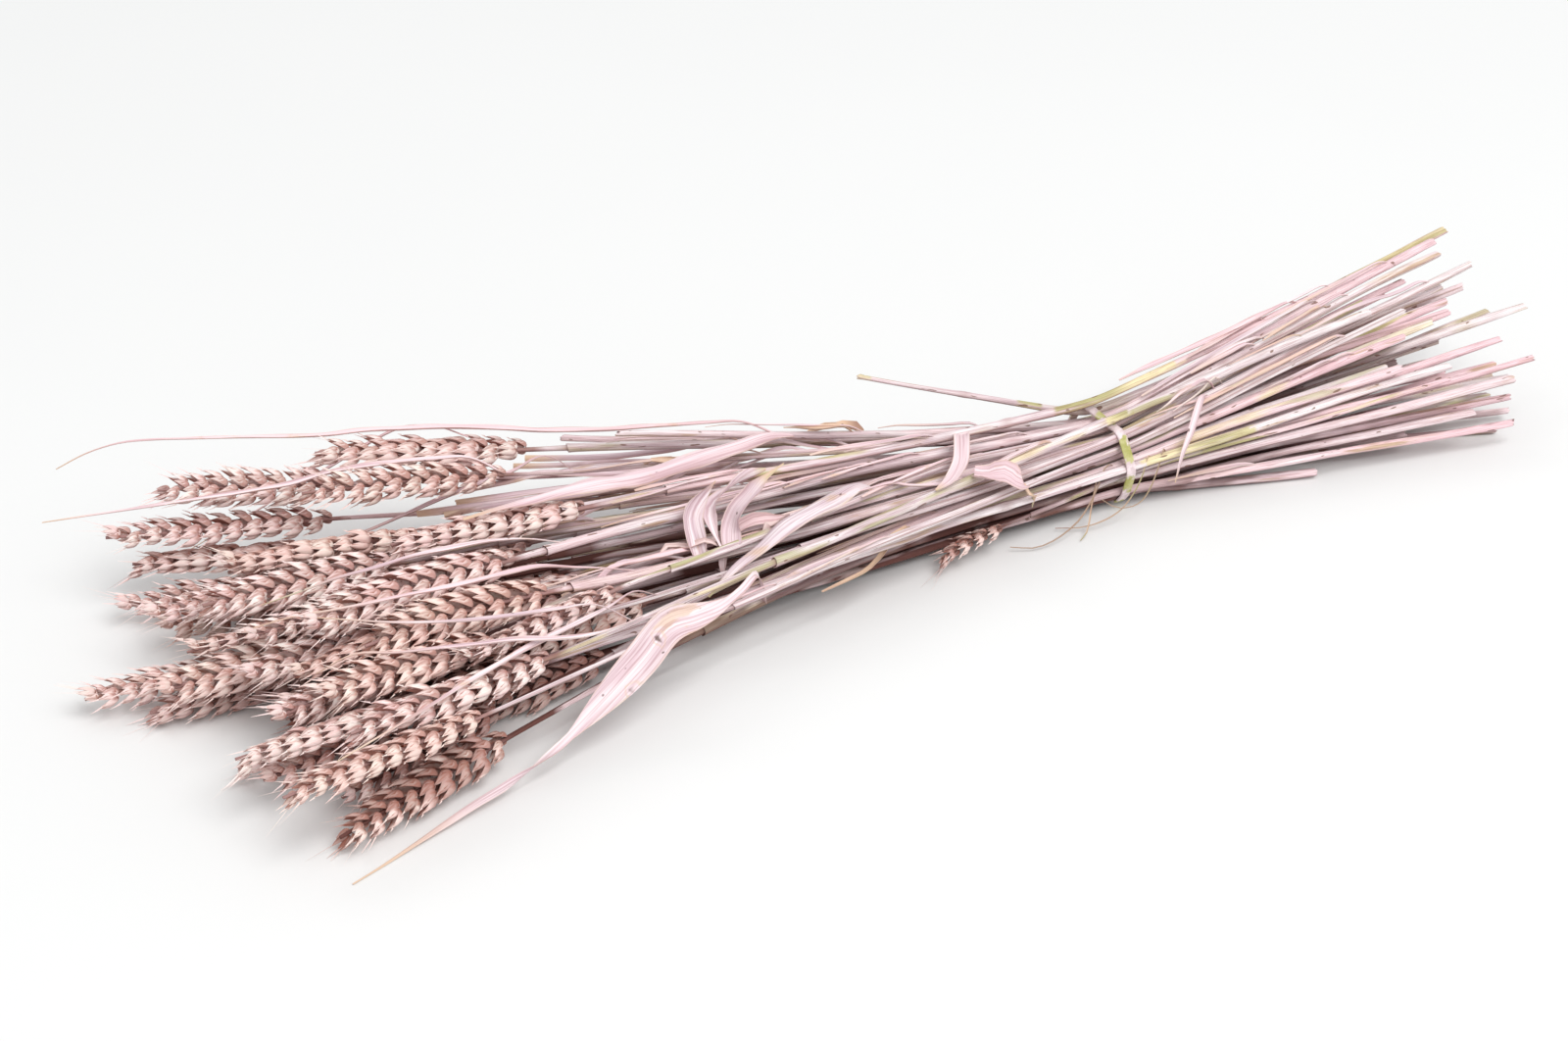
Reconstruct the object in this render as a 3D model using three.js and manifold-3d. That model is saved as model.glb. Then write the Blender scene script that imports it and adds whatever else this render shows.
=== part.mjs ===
// A bundle of dried wheat lying on its side: stalks with their ears and leaves, gathered by a narrow band.
// Millimetres. +X runs along the bundle towards the cut ends, +Y across it, +Z up.
// The band is at X = 0 while the stalks are laid. The last step moves the origin under the bundle's middle.
import * as THREE from "three";
import { mergeVertices } from "three/addons/utils/BufferGeometryUtils.js";
import Module from "manifold-3d";

const wasm = await Module();
wasm.setup();
const { clamp, lerp, smoothstep } = THREE.MathUtils;

// Driving dimensions: the bundle
const STALK_COUNT = 54;
const EAR_REACH = [330, 435]; // from the band to the tips of the ears inside the pile
const CUT_REACH = [135, 217]; // from the band to the cut ends
const WAIST_HALF_WIDTH = 24;
const WAIST_HALF_HEIGHT = 18;
const CLEARANCE = 0.5; // least gap that is kept between two stalks

// How the stalks fan out on each side of the band, in millimetres sideways or up for each millimetre along.
// spread and lift follow a stalk's place across the band, turn and drop its height there, and lean and rise
// are for all.
const EAR_FAN = { spread: 0.005, turn: -0.0095, lean: -0.012, lift: 0.001, drop: 0.0005, rise: 0.015 };
const CUT_FAN = { spread: 0.0028, turn: 0.0095, lean: -0.04, lift: -0.002, drop: 0.006, rise: 0.08 };
const STRAY = 0.03; // random part of a stalk's slope
const FRONT_BEND = 1.9; // a stalk bends outwards towards its ear by this power, which is 1 for a straight one
const BACK_BEND = 1.25;

// Ears that show in the pile, by where their tips lie: along, across and up
const SHOWN_EARS = [
  [-460, 22, 10], [-395, -104, 8], [-387, -84, 10], [-430, 95, 36], [-430, 80, 10], [-405, 95, 54],
  [-340, 85, 60], [-355, 55, 62], [-395, 35, 48], [-420, 92, 22], [-420, 55, 12], [-433, 5, 14],
  [-438, 5, 6], [-400, -10, 40], [-382, -30, 52], [-405, -23, 28], [-417, -45, 8], [-413, -70, 22],
  [-405, -55, 34], [-330, -62, 42], [-335, 0, 60], [-337, -45, 12], [-343, -23, 30], [-308, -40, 18],
];

// Stalks that have lost their ears, by where they end, and the short one with a small ear
const BROKEN_ENDS = [[-102, 40, 62], [-170, -25, 40], [-231, 66, 50], [-214, 44, 58]];
const SMALL_EAR = [-99, -33, 9];

// Cut ends that stand apart from the rest: along, across and up
const SHOWN_CUTS = [
  [211, 42, 62], [195, 30, 66], [204, 12, 60], [221, -11, 45], [198, -23, 40], [196, -36, 25],
  [189, -51, 12], [141, -38, 8], [92, -38, 4], [155, -15, 5],
];

// Driving dimensions: one stalk
const STRAW_SIDES = 5;
const SHEATH_RADIUS = 2.25;
const SHEATH_END = [-295, -125]; // where the sheath stops and the bare straw comes out of it
const SHEATH_STEP = 4;
const BARE_RADIUS = 1.5;
const NECK_RADIUS = 1.15; // just below the ear
const EAR_LENGTH = 93;
const EAR_HALF_WIDTH = 6.9;
const EAR_THICKNESS_SHARE = 0.66; // of its width
const SPIKELETS_A_SIDE = 7;
const SPIKELET_BELLY = 1.15; // where a spikelet is widest and where its tip is, in half pitches from its foot
const SPIKELET_TIP = 2.6;

// Driving dimensions: the band
const BAND_WIDTH = 4.5;
const BAND_THICKNESS = 1.1;
const BAND_GAP = 0.35;
const STRAWS_OVER_BAND = 3;

// Leaf blades. Each grows from the stalk nearest to its first point, and passes over whatever lies under it.
// A point gives the place along and across the bundle, and the least height there.
const BLADE_THICKNESS = 0.7;
const BLADE_STEP = 15;
const BLADE_SLACK = 0.6; // how far a blade may sag between its points
const LEAVES = [
  {
    width: 12,
    lean: 0.6,
    taper: [0.2, 0.75],
    tail: 1.3,
    points: [
      [-185, -40, 16], [-200, -48, 15], [-230, -58, 14], [-281, -85, 6], [-338, -104, 1], [-393, -124, 1],
    ],
  },
  {
    width: 3,
    points: [
      [-145, 34, 46], [-203, 49, 56], [-294, 80, 60], [-378, 114, 62], [-412, 128, 60], [-434, 135, 50],
    ],
  },
  { width: 3, points: [[-265, 48, 55], [-295, 55, 60], [-351, 67, 58], [-395, 84, 52], [-448, 106, 44]] },
  { width: 6.5, points: [[-60, 9, 42], [-75, -3, 43], [-89, -16, 38], [-99, -27, 28]] },
  { width: 8, points: [[-45, -27, 31], [-50, -20, 37], [-57, -11, 40], [-65, -2, 42]] },
  { width: 7, points: [[-207, -26, 38], [-201, -19, 46], [-195, -10, 56], [-186, -2, 58]] },
  { width: 7, points: [[-191, -24, 37], [-185, -17, 46], [-177, -8, 55], [-166, -1, 57]] },
  { width: 7, points: [[-176, -22, 36], [-171, -14, 45], [-163, -5, 56], [-150, 4, 63]] },
  { width: 9, points: [[-113, -6, 36], [-145, -18, 36], [-180, -32, 34], [-212, -44, 30]] },
  { width: 7.5, points: [[-185, 40, 50], [-233, 32, 54], [-271, 18, 56], [-315, 4, 58]] },
  { width: 3.2, points: [[49, -6, 42], [40, -16, 36], [29, -26, 27], [19, -33, 16]] },
];

// Where the stalks' centrelines have their points, along X
const STATION_STEP = 80;
const STATIONS = [-6, -5, -4, -3, -2, -1, 0, 1, 2, 3].map((step) => step * STATION_STEP);
const WAIST = STATIONS.indexOf(0);
const WAIST_MIDDLE = WAIST_HALF_HEIGHT + BAND_THICKNESS + BAND_GAP;
const LAYING_PASSES = 600;

const PAINTED_STRAW = new THREE.Color(0.8, 0.68, 0.7);
const GREEN_BAND = new THREE.Color(0.6, 0.6, 0.3);

// Numbers from 0 to 1 that are the same on every run
function seededRandom(seed) {
  let state = seed;
  return () => {
    state = (state + 0x6d2b79f5) | 0;
    let t = Math.imul(state ^ (state >>> 15), 1 | state);
    t = (t + Math.imul(t ^ (t >>> 7), 61 | t)) ^ t;
    return ((t ^ (t >>> 14)) >>> 0) / 4294967296;
  };
}
const random = seededRandom(11);
const between = (low, high) => low + (high - low) * random();

// Places in the band's opening, in rows like stacked straws, the nearest to its middle first
function waistPlaces(count) {
  const area = Math.PI * WAIST_HALF_WIDTH * WAIST_HALF_HEIGHT;
  const pitch = Math.sqrt(area / count / (Math.sqrt(3) / 2));
  const places = [];
  for (let row = -8; row <= 8; row++)
    for (let column = -9; column <= 9; column++) {
      const across = (column + (row % 2 ? 0.5 : 0)) * pitch;
      const up = (row * pitch * Math.sqrt(3)) / 2;
      places.push({ across, up, reach: Math.hypot(across / WAIST_HALF_WIDTH, up / WAIST_HALF_HEIGHT) });
    }
  return places.sort((a, b) => a.reach - b.reach).slice(0, count);
}

// A stalk before it is laid, with the straight line that it would follow on its own on each side of the band
function makeStalk(place, index) {
  const across = place.across + between(-0.5, 0.5);
  const up = place.up + between(-0.5, 0.5);
  const slope = (fan) => ({
    y: across * fan.spread + up * fan.turn + fan.lean + between(-STRAY, STRAY),
    z: across * fan.lift + up * fan.drop + fan.rise + between(-STRAY, STRAY),
  });
  const [earSlope, cutSlope] = [slope(EAR_FAN), slope(CUT_FAN)];
  const rest = STATIONS.map((x) => {
    const { y, z } = x < 0 ? earSlope : cutSlope;
    return { y: across + y * Math.abs(x), z: Math.max(3, WAIST_MIDDLE + up + z * Math.abs(x)) };
  });
  return {
    name: "stalk_" + String(index + 1).padStart(2, "0"),
    tipX: -between(...EAR_REACH),
    cutX: between(...CUT_REACH),
    earLength: EAR_LENGTH * between(0.8, 1.08),
    thickness: between(0.86, 1.14),
    sheathEnd: between(...SHEATH_END),
    roll: between(-0.7, 0.7),
    aimedAt: {},
    rest,
    points: rest.map((p) => ({ ...p })),
  };
}

// Sends the stalk whose own line passes nearest to a place there, and returns it
function sendTo([x, y, z], stalks, side) {
  const miss = (stalk) => {
    const point = onLine(stalk.rest, x);
    return Math.hypot(point.y - y, point.z - z);
  };
  const free = stalks.filter((stalk) => !stalk.aimedAt[side]);
  const stalk = free.reduce((best, other) => (miss(other) < miss(best) ? other : best));
  const waist = stalk.rest[WAIST];
  const bend = side === "cut" ? 1 : y < 0 ? FRONT_BEND : BACK_BEND;
  stalk.aimedAt[side] = true;
  STATIONS.forEach((station, k) => {
    if (station * x <= 0) return;
    const t = station / x;
    stalk.rest[k] = { y: lerp(waist.y, y, t ** bend), z: Math.max(3, lerp(waist.z, z, t)) };
    stalk.points[k] = { ...stalk.rest[k] };
  });
  return stalk;
}

function aimStalks(stalks) {
  for (const place of SHOWN_EARS) sendTo(place, stalks, "ear").tipX = place[0];
  for (const place of BROKEN_ENDS) {
    const broken = { tipX: place[0], earLength: 0 };
    Object.assign(sendTo(place, stalks, "ear"), broken);
  }
  const small = { tipX: SMALL_EAR[0], earLength: EAR_LENGTH * 0.36, thickness: 0.62 };
  Object.assign(sendTo(SMALL_EAR, stalks, "ear"), small);
  for (const place of SHOWN_CUTS) sendTo(place, stalks, "cut").cutX = place[0];
}

// The straw's radius at X: thick where the sheath wraps it, and bare and thin near the ear
function strawRadius(stalk, x) {
  const bare = lerp(NECK_RADIUS, BARE_RADIUS, smoothstep(x, stalk.tipX + stalk.earLength, stalk.sheathEnd));
  const sheathed = smoothstep(x, stalk.sheathEnd - SHEATH_STEP, stalk.sheathEnd);
  return stalk.thickness * lerp(bare, SHEATH_RADIUS, sheathed);
}

// Half the ear's width at u, which is 0 at its base and 1 at its tip
function earHalfWidth(stalk, u) {
  const swell = smoothstep(u, -0.08, 0.16);
  const taper = 1 - 0.72 * smoothstep(u, 0.55, 1.05);
  return EAR_HALF_WIDTH * stalk.thickness * swell * taper;
}

// The radius that the stalk needs clear around it at X, or 0 past its ends
function girth(stalk, x) {
  const margin = 3;
  if (x < stalk.tipX - margin || x > stalk.cutX + margin) return 0;
  if (!stalk.earLength) return strawRadius(stalk, x);
  const u = (stalk.tipX + stalk.earLength - x) / stalk.earLength;
  if (u < -margin / stalk.earLength) return strawRadius(stalk, x);
  return Math.max(strawRadius(stalk, x), earHalfWidth(stalk, clamp(u, 0.05, 1)) * 1.04);
}

// Pushes two stalks apart wherever they pass closer than their girths and the clearance allow
const PARTS_OF_A_STEP = 6;
function keepApart(a, b) {
  const yieldA = a.aimedAt.ear ? 0.25 : 1;
  const yieldB = b.aimedAt.ear ? 0.25 : 1;
  const shareA = yieldA / (yieldA + yieldB);
  for (let i = 0; i + 1 < STATIONS.length; i++)
    for (let part = 0; part < PARTS_OF_A_STEP; part++) {
      const share = (part + 0.5) / PARTS_OF_A_STEP;
      const x = lerp(STATIONS[i], STATIONS[i + 1], share);
      const girthA = girth(a, x);
      const girthB = girth(b, x);
      if (!girthA || !girthB) continue;
      const nearY = b.points[i].y - a.points[i].y;
      const nearZ = b.points[i].z - a.points[i].z;
      const stepY = b.points[i + 1].y - a.points[i + 1].y - nearY;
      const stepZ = b.points[i + 1].z - a.points[i + 1].z - nearZ;
      const closest = -(nearY * stepY + nearZ * stepZ) / (stepY ** 2 + stepZ ** 2 + 1e-9);
      const half = 0.5 / PARTS_OF_A_STEP;
      const t = clamp(closest, share - half, share + half);
      const y = nearY + stepY * t;
      const z = nearZ + stepZ * t;
      const apart = Math.hypot(y, z);
      const lack = girthA + girthB + CLEARANCE - apart;
      if (lack <= 0) continue;
      const push = (0.9 * lack) / Math.max(apart, 1e-6) / (t * t + (1 - t) * (1 - t));
      for (const [stalk, way] of [[a, -shareA], [b, 1 - shareA]]) {
        stalk.points[i].y += way * y * push * (1 - t);
        stalk.points[i].z += way * z * push * (1 - t);
        stalk.points[i + 1].y += way * y * push * t;
        stalk.points[i + 1].z += way * z * push * t;
      }
    }
}

// Lifts a stalk's points off the surface that the bundle lies on, and off the band's underside
function keepUp(stalk) {
  STATIONS.forEach((x, i) => {
    const band = i === WAIST ? BAND_THICKNESS + BAND_GAP : 0;
    const lowest = Math.max(girth(stalk, x), NECK_RADIUS) + band;
    stalk.points[i].z = Math.max(stalk.points[i].z, lowest);
  });
  const middle = stalk.tipX + stalk.earLength / 2;
  const i = STATIONS.findIndex((x) => x > middle) - 1;
  const lack = girth(stalk, middle) - pointAt(stalk, middle).z;
  if (lack > 0) for (const end of [i, i + 1]) stalk.points[end].z += lack;
}

// Draws a stalk back towards its own line, straightens it, and gathers it under the band
function stiffen(stalk, strength) {
  stalk.points.forEach((point, i) => {
    const rest = stalk.rest[i];
    if (i === WAIST) {
      point.y -= point.y * 0.02 * strength;
      point.z -= (point.z - WAIST_MIDDLE + 3) * 0.03 * strength;
      return;
    }
    point.y += (rest.y - point.y) * 0.05 * strength;
    point.z += (rest.z - point.z) * 0.04 * strength;
    if (!stalk.points[i - 1] || !stalk.points[i + 1]) return;
    for (const way of ["y", "z"]) {
      const strain = (k) => stalk.points[k][way] - stalk.rest[k][way];
      point[way] += ((strain(i - 1) + strain(i + 1)) / 2 - strain(i)) * 0.12 * strength;
    }
  });
}

// Lays the stalks together until none passes through another
function layStalks(stalks) {
  for (let pass = 0; pass < LAYING_PASSES; pass++) {
    const strength = Math.max(0, 1 - (1.3 * pass) / LAYING_PASSES);
    for (const stalk of stalks) stiffen(stalk, strength);
    for (let i = 0; i < stalks.length; i++)
      for (let j = i + 1; j < stalks.length; j++) keepApart(stalks[i], stalks[j]);
    for (const stalk of stalks) keepUp(stalk);
  }
}

// The point at X of a line with a point at each station
function onLine(line, x) {
  const i = STATIONS.findIndex((station) => station > x) - 1;
  const t = (x - STATIONS[i]) / (STATIONS[i + 1] - STATIONS[i]);
  return new THREE.Vector3(x, lerp(line[i].y, line[i + 1].y, t), lerp(line[i].z, line[i + 1].z, t));
}
const pointAt = (stalk, x) => onLine(stalk.points, x);

// Directions across a stalk at X: along points to the ear's tip, side is the ear's wide way
function frameAt(stalk, x) {
  const along = pointAt(stalk, x - 6).sub(pointAt(stalk, x + 6)).normalize();
  const level = new THREE.Vector3(0, 0, 1).cross(along).normalize();
  const side = level.applyAxisAngle(along, stalk.roll);
  return { along, side, front: new THREE.Vector3().crossVectors(along, side) };
}

// A closed geometry as a solid
function solidOf(geometry) {
  const bare = new THREE.BufferGeometry().setAttribute("position", geometry.getAttribute("position"));
  bare.setIndex(geometry.index);
  const merged = mergeVertices(bare, 1e-4);
  return new wasm.Manifold(
    new wasm.Mesh({
      numProp: 3,
      vertProperties: merged.getAttribute("position").array,
      triVerts: new Uint32Array(merged.index.array),
    }),
  );
}

// Points and triangles as a solid
function solidFrom(vertices, triangles) {
  const geometry = new THREE.BufferGeometry().setFromPoints(vertices);
  geometry.setIndex(triangles.flat());
  return solidOf(geometry);
}

// A solid as a geometry with flat faces
function geometryOf(solid) {
  const mesh = solid.getMesh();
  const geometry = new THREE.BufferGeometry();
  geometry.setAttribute("position", new THREE.BufferAttribute(mesh.vertProperties, 3));
  geometry.setIndex(new THREE.BufferAttribute(mesh.triVerts, 1));
  const flat = geometry.toNonIndexed();
  flat.computeVertexNormals();
  return flat;
}

// A straw: a few-sided turned form, bent along the stalk's centreline
function strawSolid(stalk) {
  const end = stalk.tipX + stalk.earLength - (stalk.earLength ? 5 : 0);
  const margin = 14;
  const inside = STATIONS.filter((x) => x > end + margin && x < stalk.cutX - margin);
  const step = [stalk.sheathEnd, stalk.sheathEnd - SHEATH_STEP].filter((x) => x > end + margin);
  const along = [stalk.cutX, ...[...inside, ...step].sort((a, b) => b - a), end];
  const profile = along.map((x) => new THREE.Vector2(strawRadius(stalk, x), -x));
  profile.unshift(new THREE.Vector2(0, -stalk.cutX));
  profile.push(new THREE.Vector2(0, -end));
  const geometry = new THREE.LatheGeometry(profile, STRAW_SIDES);
  const position = geometry.getAttribute("position");
  for (let i = 0; i < position.count; i++) {
    const x = -position.getY(i);
    const frame = frameAt(stalk, x);
    const point = pointAt(stalk, x);
    point.addScaledVector(frame.front, position.getX(i)).addScaledVector(frame.side, position.getZ(i));
    position.setXYZ(i, point.x, point.y, point.z);
  }
  return solidOf(geometry);
}

// An ear: four-cornered rings half a spikelet apart, from which a spikelet stands out on each side in turn.
// A spikelet has a belly on each face and a tip that hangs over the foot of the next one.
function earSolid(stalk) {
  const vertices = [];
  const triangles = [];
  const place = (u, sideways, outwards) => {
    const x = stalk.tipX + stalk.earLength * (1 - u);
    const { side, front } = frameAt(stalk, x);
    vertices.push(pointAt(stalk, x).addScaledVector(side, sideways).addScaledVector(front, outwards));
    return vertices.length - 1;
  };
  const spikelets = Math.max(4, Math.round((SPIKELETS_A_SIDE * stalk.earLength) / EAR_LENGTH));
  const lastRing = 2 * spikelets + 1;
  const halfPitch = 0.93 / lastRing;
  const rings = [];
  for (let k = 0; k <= lastRing; k++) {
    const u = k * halfPitch;
    const wide = earHalfWidth(stalk, u);
    const core = Math.max(0.36 * wide, 0.5);
    const ridge = Math.max(0.42 * wide, 0.5);
    rings.push([place(u, core, 0), place(u, 0, ridge), place(u, -core, 0), place(u, 0, -ridge)]);
  }
  for (let k = 0; k + 2 <= lastRing; k++) {
    const way = k % 2 ? -1 : 1;
    const [p, q, n] = k % 2 ? [2, 3, 1] : [0, 1, 3];
    const [foot, middle, head] = [rings[k], rings[k + 1], rings[k + 2]];
    const bellyU = (k + SPIKELET_BELLY) * halfPitch;
    const tipU = (k + SPIKELET_TIP) * halfPitch;
    const belly = earHalfWidth(stalk, bellyU);
    const right = place(bellyU, way * 0.62 * belly, way * EAR_THICKNESS_SHARE * belly);
    const left = place(bellyU, way * 0.62 * belly, -way * EAR_THICKNESS_SHARE * belly);
    const tip = place(tipU, way * earHalfWidth(stalk, Math.min(tipU, 0.97)), 0);
    triangles.push(
      [foot[p], foot[q], right], [foot[q], middle[q], right], [middle[q], head[q], right],
      [head[q], tip, right], [head[q], head[p], tip], [foot[p], right, tip],
      [foot[n], foot[p], left], [middle[n], foot[n], left], [head[n], middle[n], left],
      [tip, head[n], left], [head[p], head[n], tip], [foot[p], tip, left],
    );
  }
  // The half pitch that is left bare on one side at each end, then the top spikelet and the foot
  const wall = (low, high, a, b) => triangles.push([low[a], low[b], high[b]], [low[a], high[b], high[a]]);
  for (const [a, b] of [[1, 2], [2, 3]]) wall(rings[0], rings[1], a, b);
  const top = rings[lastRing];
  for (const [a, b] of [[3, 0], [0, 1]]) wall(rings[lastRing - 1], top, a, b);
  const crown = place(1, 0, 0);
  for (let corner = 0; corner < 4; corner++) triangles.push([top[corner], top[(corner + 1) % 4], crown]);
  const base = rings[0];
  triangles.push([base[2], base[1], base[0]], [base[3], base[2], base[0]]);
  return solidFrom(vertices, triangles);
}

// The height of whatever lies uppermost within a distance of a place, of what has its underside below a level
function pileTop(stalks, { x, y, z: level }, within) {
  let top = 0;
  for (const stalk of stalks) {
    const radius = girth(stalk, x);
    if (!radius) continue;
    const point = pointAt(stalk, x);
    const beside = Math.max(0, Math.abs(point.y - y) - within);
    if (point.z - radius > level) continue;
    if (beside < radius) top = Math.max(top, point.z + Math.sqrt(radius ** 2 - beside ** 2));
  }
  return top;
}

// The stalk that passes nearest to a point
function nearestTo(stalks, [x, y, z]) {
  const near = stalks.filter((stalk) => girth(stalk, x));
  const miss = (stalk) => pointAt(stalk, x).distanceTo(new THREE.Vector3(x, y, z));
  return near.reduce((best, other) => (miss(other) < miss(best) ? other : best));
}

// Half a blade's width, at t from 0 at its root to 1 at its tip
function bladeHalfWidth(leaf, t) {
  const { width, taper = [0.45, 1.15], tail = 0.6 } = leaf;
  return Math.max(tail, 0.5 * width * smoothstep(t, -0.12, 0.3) * (1 - smoothstep(t, ...taper)));
}

// How far a blade leans back against the bundle at t, in radians
const bladeLean = (leaf, t) => (leaf.lean ?? 0) * (1 - smoothstep(t, 0.6, 0.9));

// The middle line of a blade: it starts inside its stalk and passes clear over what is under it
function bladeSpine(leaf, stalk, stalks) {
  const root = pointAt(stalk, leaf.points[0][0]);
  const plan = leaf.points.map(([x, y, z], i) => new THREE.Vector3(x, i ? y : root.y, z));
  const curve = new THREE.CatmullRomCurve3(plan, false, "centripetal");
  const steps = Math.max(5, Math.round(curve.getLength() / BLADE_STEP));
  const spine = [];
  for (let k = 0; k <= steps; k++) {
    const t = k / steps;
    const halfWidth = bladeHalfWidth(leaf, t);
    const clear = 0.5 + BLADE_THICKNESS / 2 + halfWidth * Math.sin(bladeLean(leaf, t));
    const point = curve.getPointAt(t);
    for (const shift of [-1, -0.75, -0.5, -0.25, 0, 0.25, 0.5, 0.75, 1]) {
      const near = curve.getPointAt(clamp(t + shift / steps, 0, 1));
      near.z = point.z + clear;
      point.z = Math.max(point.z, pileTop(stalks, near, halfWidth + 0.8) + clear);
    }
    spine.push(k ? point : root);
  }
  for (let pass = 0; pass < 20; pass++)
    for (let k = 2; k < steps; k++)
      spine[k].z = Math.max(spine[k].z, (spine[k - 1].z + spine[k + 1].z) / 2 - BLADE_SLACK);
  return spine;
}

// A blade: a thin strip along its middle line
function leafSolid(leaf, stalk, stalks) {
  const spine = bladeSpine(leaf, stalk, stalks);
  const steps = spine.length - 1;
  const vertices = [];
  const triangles = [];
  spine.forEach((point, k) => {
    const along = spine[Math.min(k + 1, steps)].clone().sub(spine[Math.max(k - 1, 0)]).normalize();
    const level = new THREE.Vector3(0, 0, 1).cross(along).normalize();
    const side = level.applyAxisAngle(along, -bladeLean(leaf, k / steps));
    const up = new THREE.Vector3().crossVectors(along, side).multiplyScalar(BLADE_THICKNESS / 2);
    side.multiplyScalar(bladeHalfWidth(leaf, k / steps));
    for (const [s, u] of [[1, 1], [-1, 1], [-1, -1], [1, -1]])
      vertices.push(point.clone().addScaledVector(side, s).addScaledVector(up, u));
    if (!k) return;
    for (let corner = 0; corner < 4; corner++) {
      const next = (corner + 1) % 4;
      const [a, b] = [4 * (k - 1) + corner, 4 * (k - 1) + next];
      const [c, d] = [4 * k + next, 4 * k + corner];
      triangles.push(...(corner === 2 ? [[a, b, d], [b, c, d]] : [[a, b, c], [a, c, d]]));
    }
  });
  const last = 4 * steps;
  triangles.push([2, 1, 0], [3, 2, 0], [last, last + 1, last + 2], [last, last + 2, last + 3]);
  return solidFrom(vertices, triangles);
}

// The convex outline of points across the bundle, anticlockwise
function convexOutline(points) {
  const sorted = [...points].sort((a, b) => a.x - b.x || a.y - b.y);
  const turn = (o, a, b) => (a.x - o.x) * (b.y - o.y) - (a.y - o.y) * (b.x - o.x);
  const half = (list) => {
    const chain = [];
    for (const p of list) {
      while (chain.length > 1 && turn(chain.at(-2), chain.at(-1), p) <= 0.02) chain.pop();
      chain.push(p);
    }
    return chain.slice(0, -1);
  };
  return [...half(sorted), ...half(sorted.reverse())];
}

// The outline of the straws under the band, grown by a distance, and flat where it would pass below a height
function waistOutline(stalks, grown, lowest) {
  const corners = 10;
  const points = [];
  for (const stalk of stalks)
    for (const x of [-BAND_WIDTH / 2, 0, BAND_WIDTH / 2])
      for (let i = 0; i < corners; i++) {
        const angle = ((i + 0.5) * 2 * Math.PI) / corners;
        const reach = (strawRadius(stalk, x) + grown) / Math.cos(Math.PI / corners);
        const { y, z } = pointAt(stalk, x);
        const up = Math.max(z + reach * Math.sin(angle), lowest);
        points.push(new THREE.Vector2(y + reach * Math.cos(angle), up));
      }
  return convexOutline(points);
}

function bandGeometry(stalks) {
  const shape = new THREE.Shape(waistOutline(stalks, BAND_GAP + BAND_THICKNESS, 0));
  shape.holes.push(new THREE.Path(waistOutline(stalks, BAND_GAP, BAND_THICKNESS)));
  const geometry = new THREE.ExtrudeGeometry(shape, { depth: BAND_WIDTH, bevelEnabled: false });
  geometry.translate(0, 0, -BAND_WIDTH / 2);
  const acrossToBundle = new THREE.Matrix4().makeBasis(
    new THREE.Vector3(0, 1, 0),
    new THREE.Vector3(0, 0, 1),
    new THREE.Vector3(1, 0, 0),
  );
  return geometry.applyMatrix4(acrossToBundle);
}

// The height of a convex outline's upper side at a place across it
function outlineTop(outline, across) {
  let top = 0;
  outline.forEach((a, i) => {
    const b = outline[(i + 1) % outline.length];
    const t = (across - a.x) / (b.x - a.x);
    if (t >= 0 && t <= 1) top = Math.max(top, lerp(a.y, b.y, t));
  });
  return top;
}

// Whether no other straw lies over this one near the band
function isUppermost(stalk, stalks) {
  return [-60, -30, 0, 30, 60].every((x) => {
    const here = pointAt(stalk, x);
    return stalks.every((other) => {
      const there = pointAt(other, x);
      const reach = strawRadius(stalk, x) + strawRadius(other, x) + CLEARANCE;
      return there.z <= here.z || Math.abs(there.y - here.y) > reach || !girth(other, x);
    });
  });
}

// Lifts a few straws at the top and back so that they pass over the band, and returns the ones left in it
function strawsInBand(stalks) {
  const height = ({ points }) => points[WAIST].z + 0.4 * points[WAIST].y;
  const uppermost = stalks.filter((stalk) => isUppermost(stalk, stalks));
  const over = uppermost.sort((a, b) => height(b) - height(a)).slice(0, STRAWS_OVER_BAND);
  const inside = stalks.filter((stalk) => !over.includes(stalk));
  const outline = waistOutline(inside, BAND_GAP + BAND_THICKNESS, 0);
  for (const stalk of over) {
    const radius = strawRadius(stalk, 0) + BAND_GAP;
    const waist = stalk.points[WAIST];
    const tops = [-1, -0.5, 0, 0.5, 1].map((share) => outlineTop(outline, waist.y + share * radius));
    waist.z = Math.max(waist.z, Math.max(...tops) + radius + 0.3);
  }
  return inside;
}

function meshOf(name, geometry, color) {
  const material = new THREE.MeshStandardMaterial({ color, roughness: 0.9, metalness: 0 });
  const mesh = new THREE.Mesh(geometry, material);
  mesh.name = name;
  return mesh;
}

const stalks = waistPlaces(STALK_COUNT).map(makeStalk);
aimStalks(stalks);
layStalks(stalks);
const inBand = strawsInBand(stalks);

const leaves = new Map();
for (const leaf of LEAVES) {
  const stalk = nearestTo(stalks, leaf.points[0]);
  leaves.set(stalk, [...(leaves.get(stalk) ?? []), leafSolid(leaf, stalk, stalks)]);
}

const bundle = new THREE.Group();
bundle.add(meshOf("band", bandGeometry(inBand), GREEN_BAND));
for (const stalk of stalks) {
  let solid = strawSolid(stalk);
  if (stalk.earLength) solid = solid.add(earSolid(stalk));
  for (const leaf of leaves.get(stalk) ?? []) solid = solid.add(leaf);
  bundle.add(meshOf(stalk.name, geometryOf(solid), PAINTED_STRAW));
}

// The origin goes under the middle of the bundle, on the surface that it lies on
const reach = new THREE.Box3().setFromObject(bundle);
const middle = reach.getCenter(new THREE.Vector3());
bundle.position.set(-middle.x, -middle.y, -reach.min.z);

const model = new THREE.Group();
model.add(bundle);
export default model;
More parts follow.
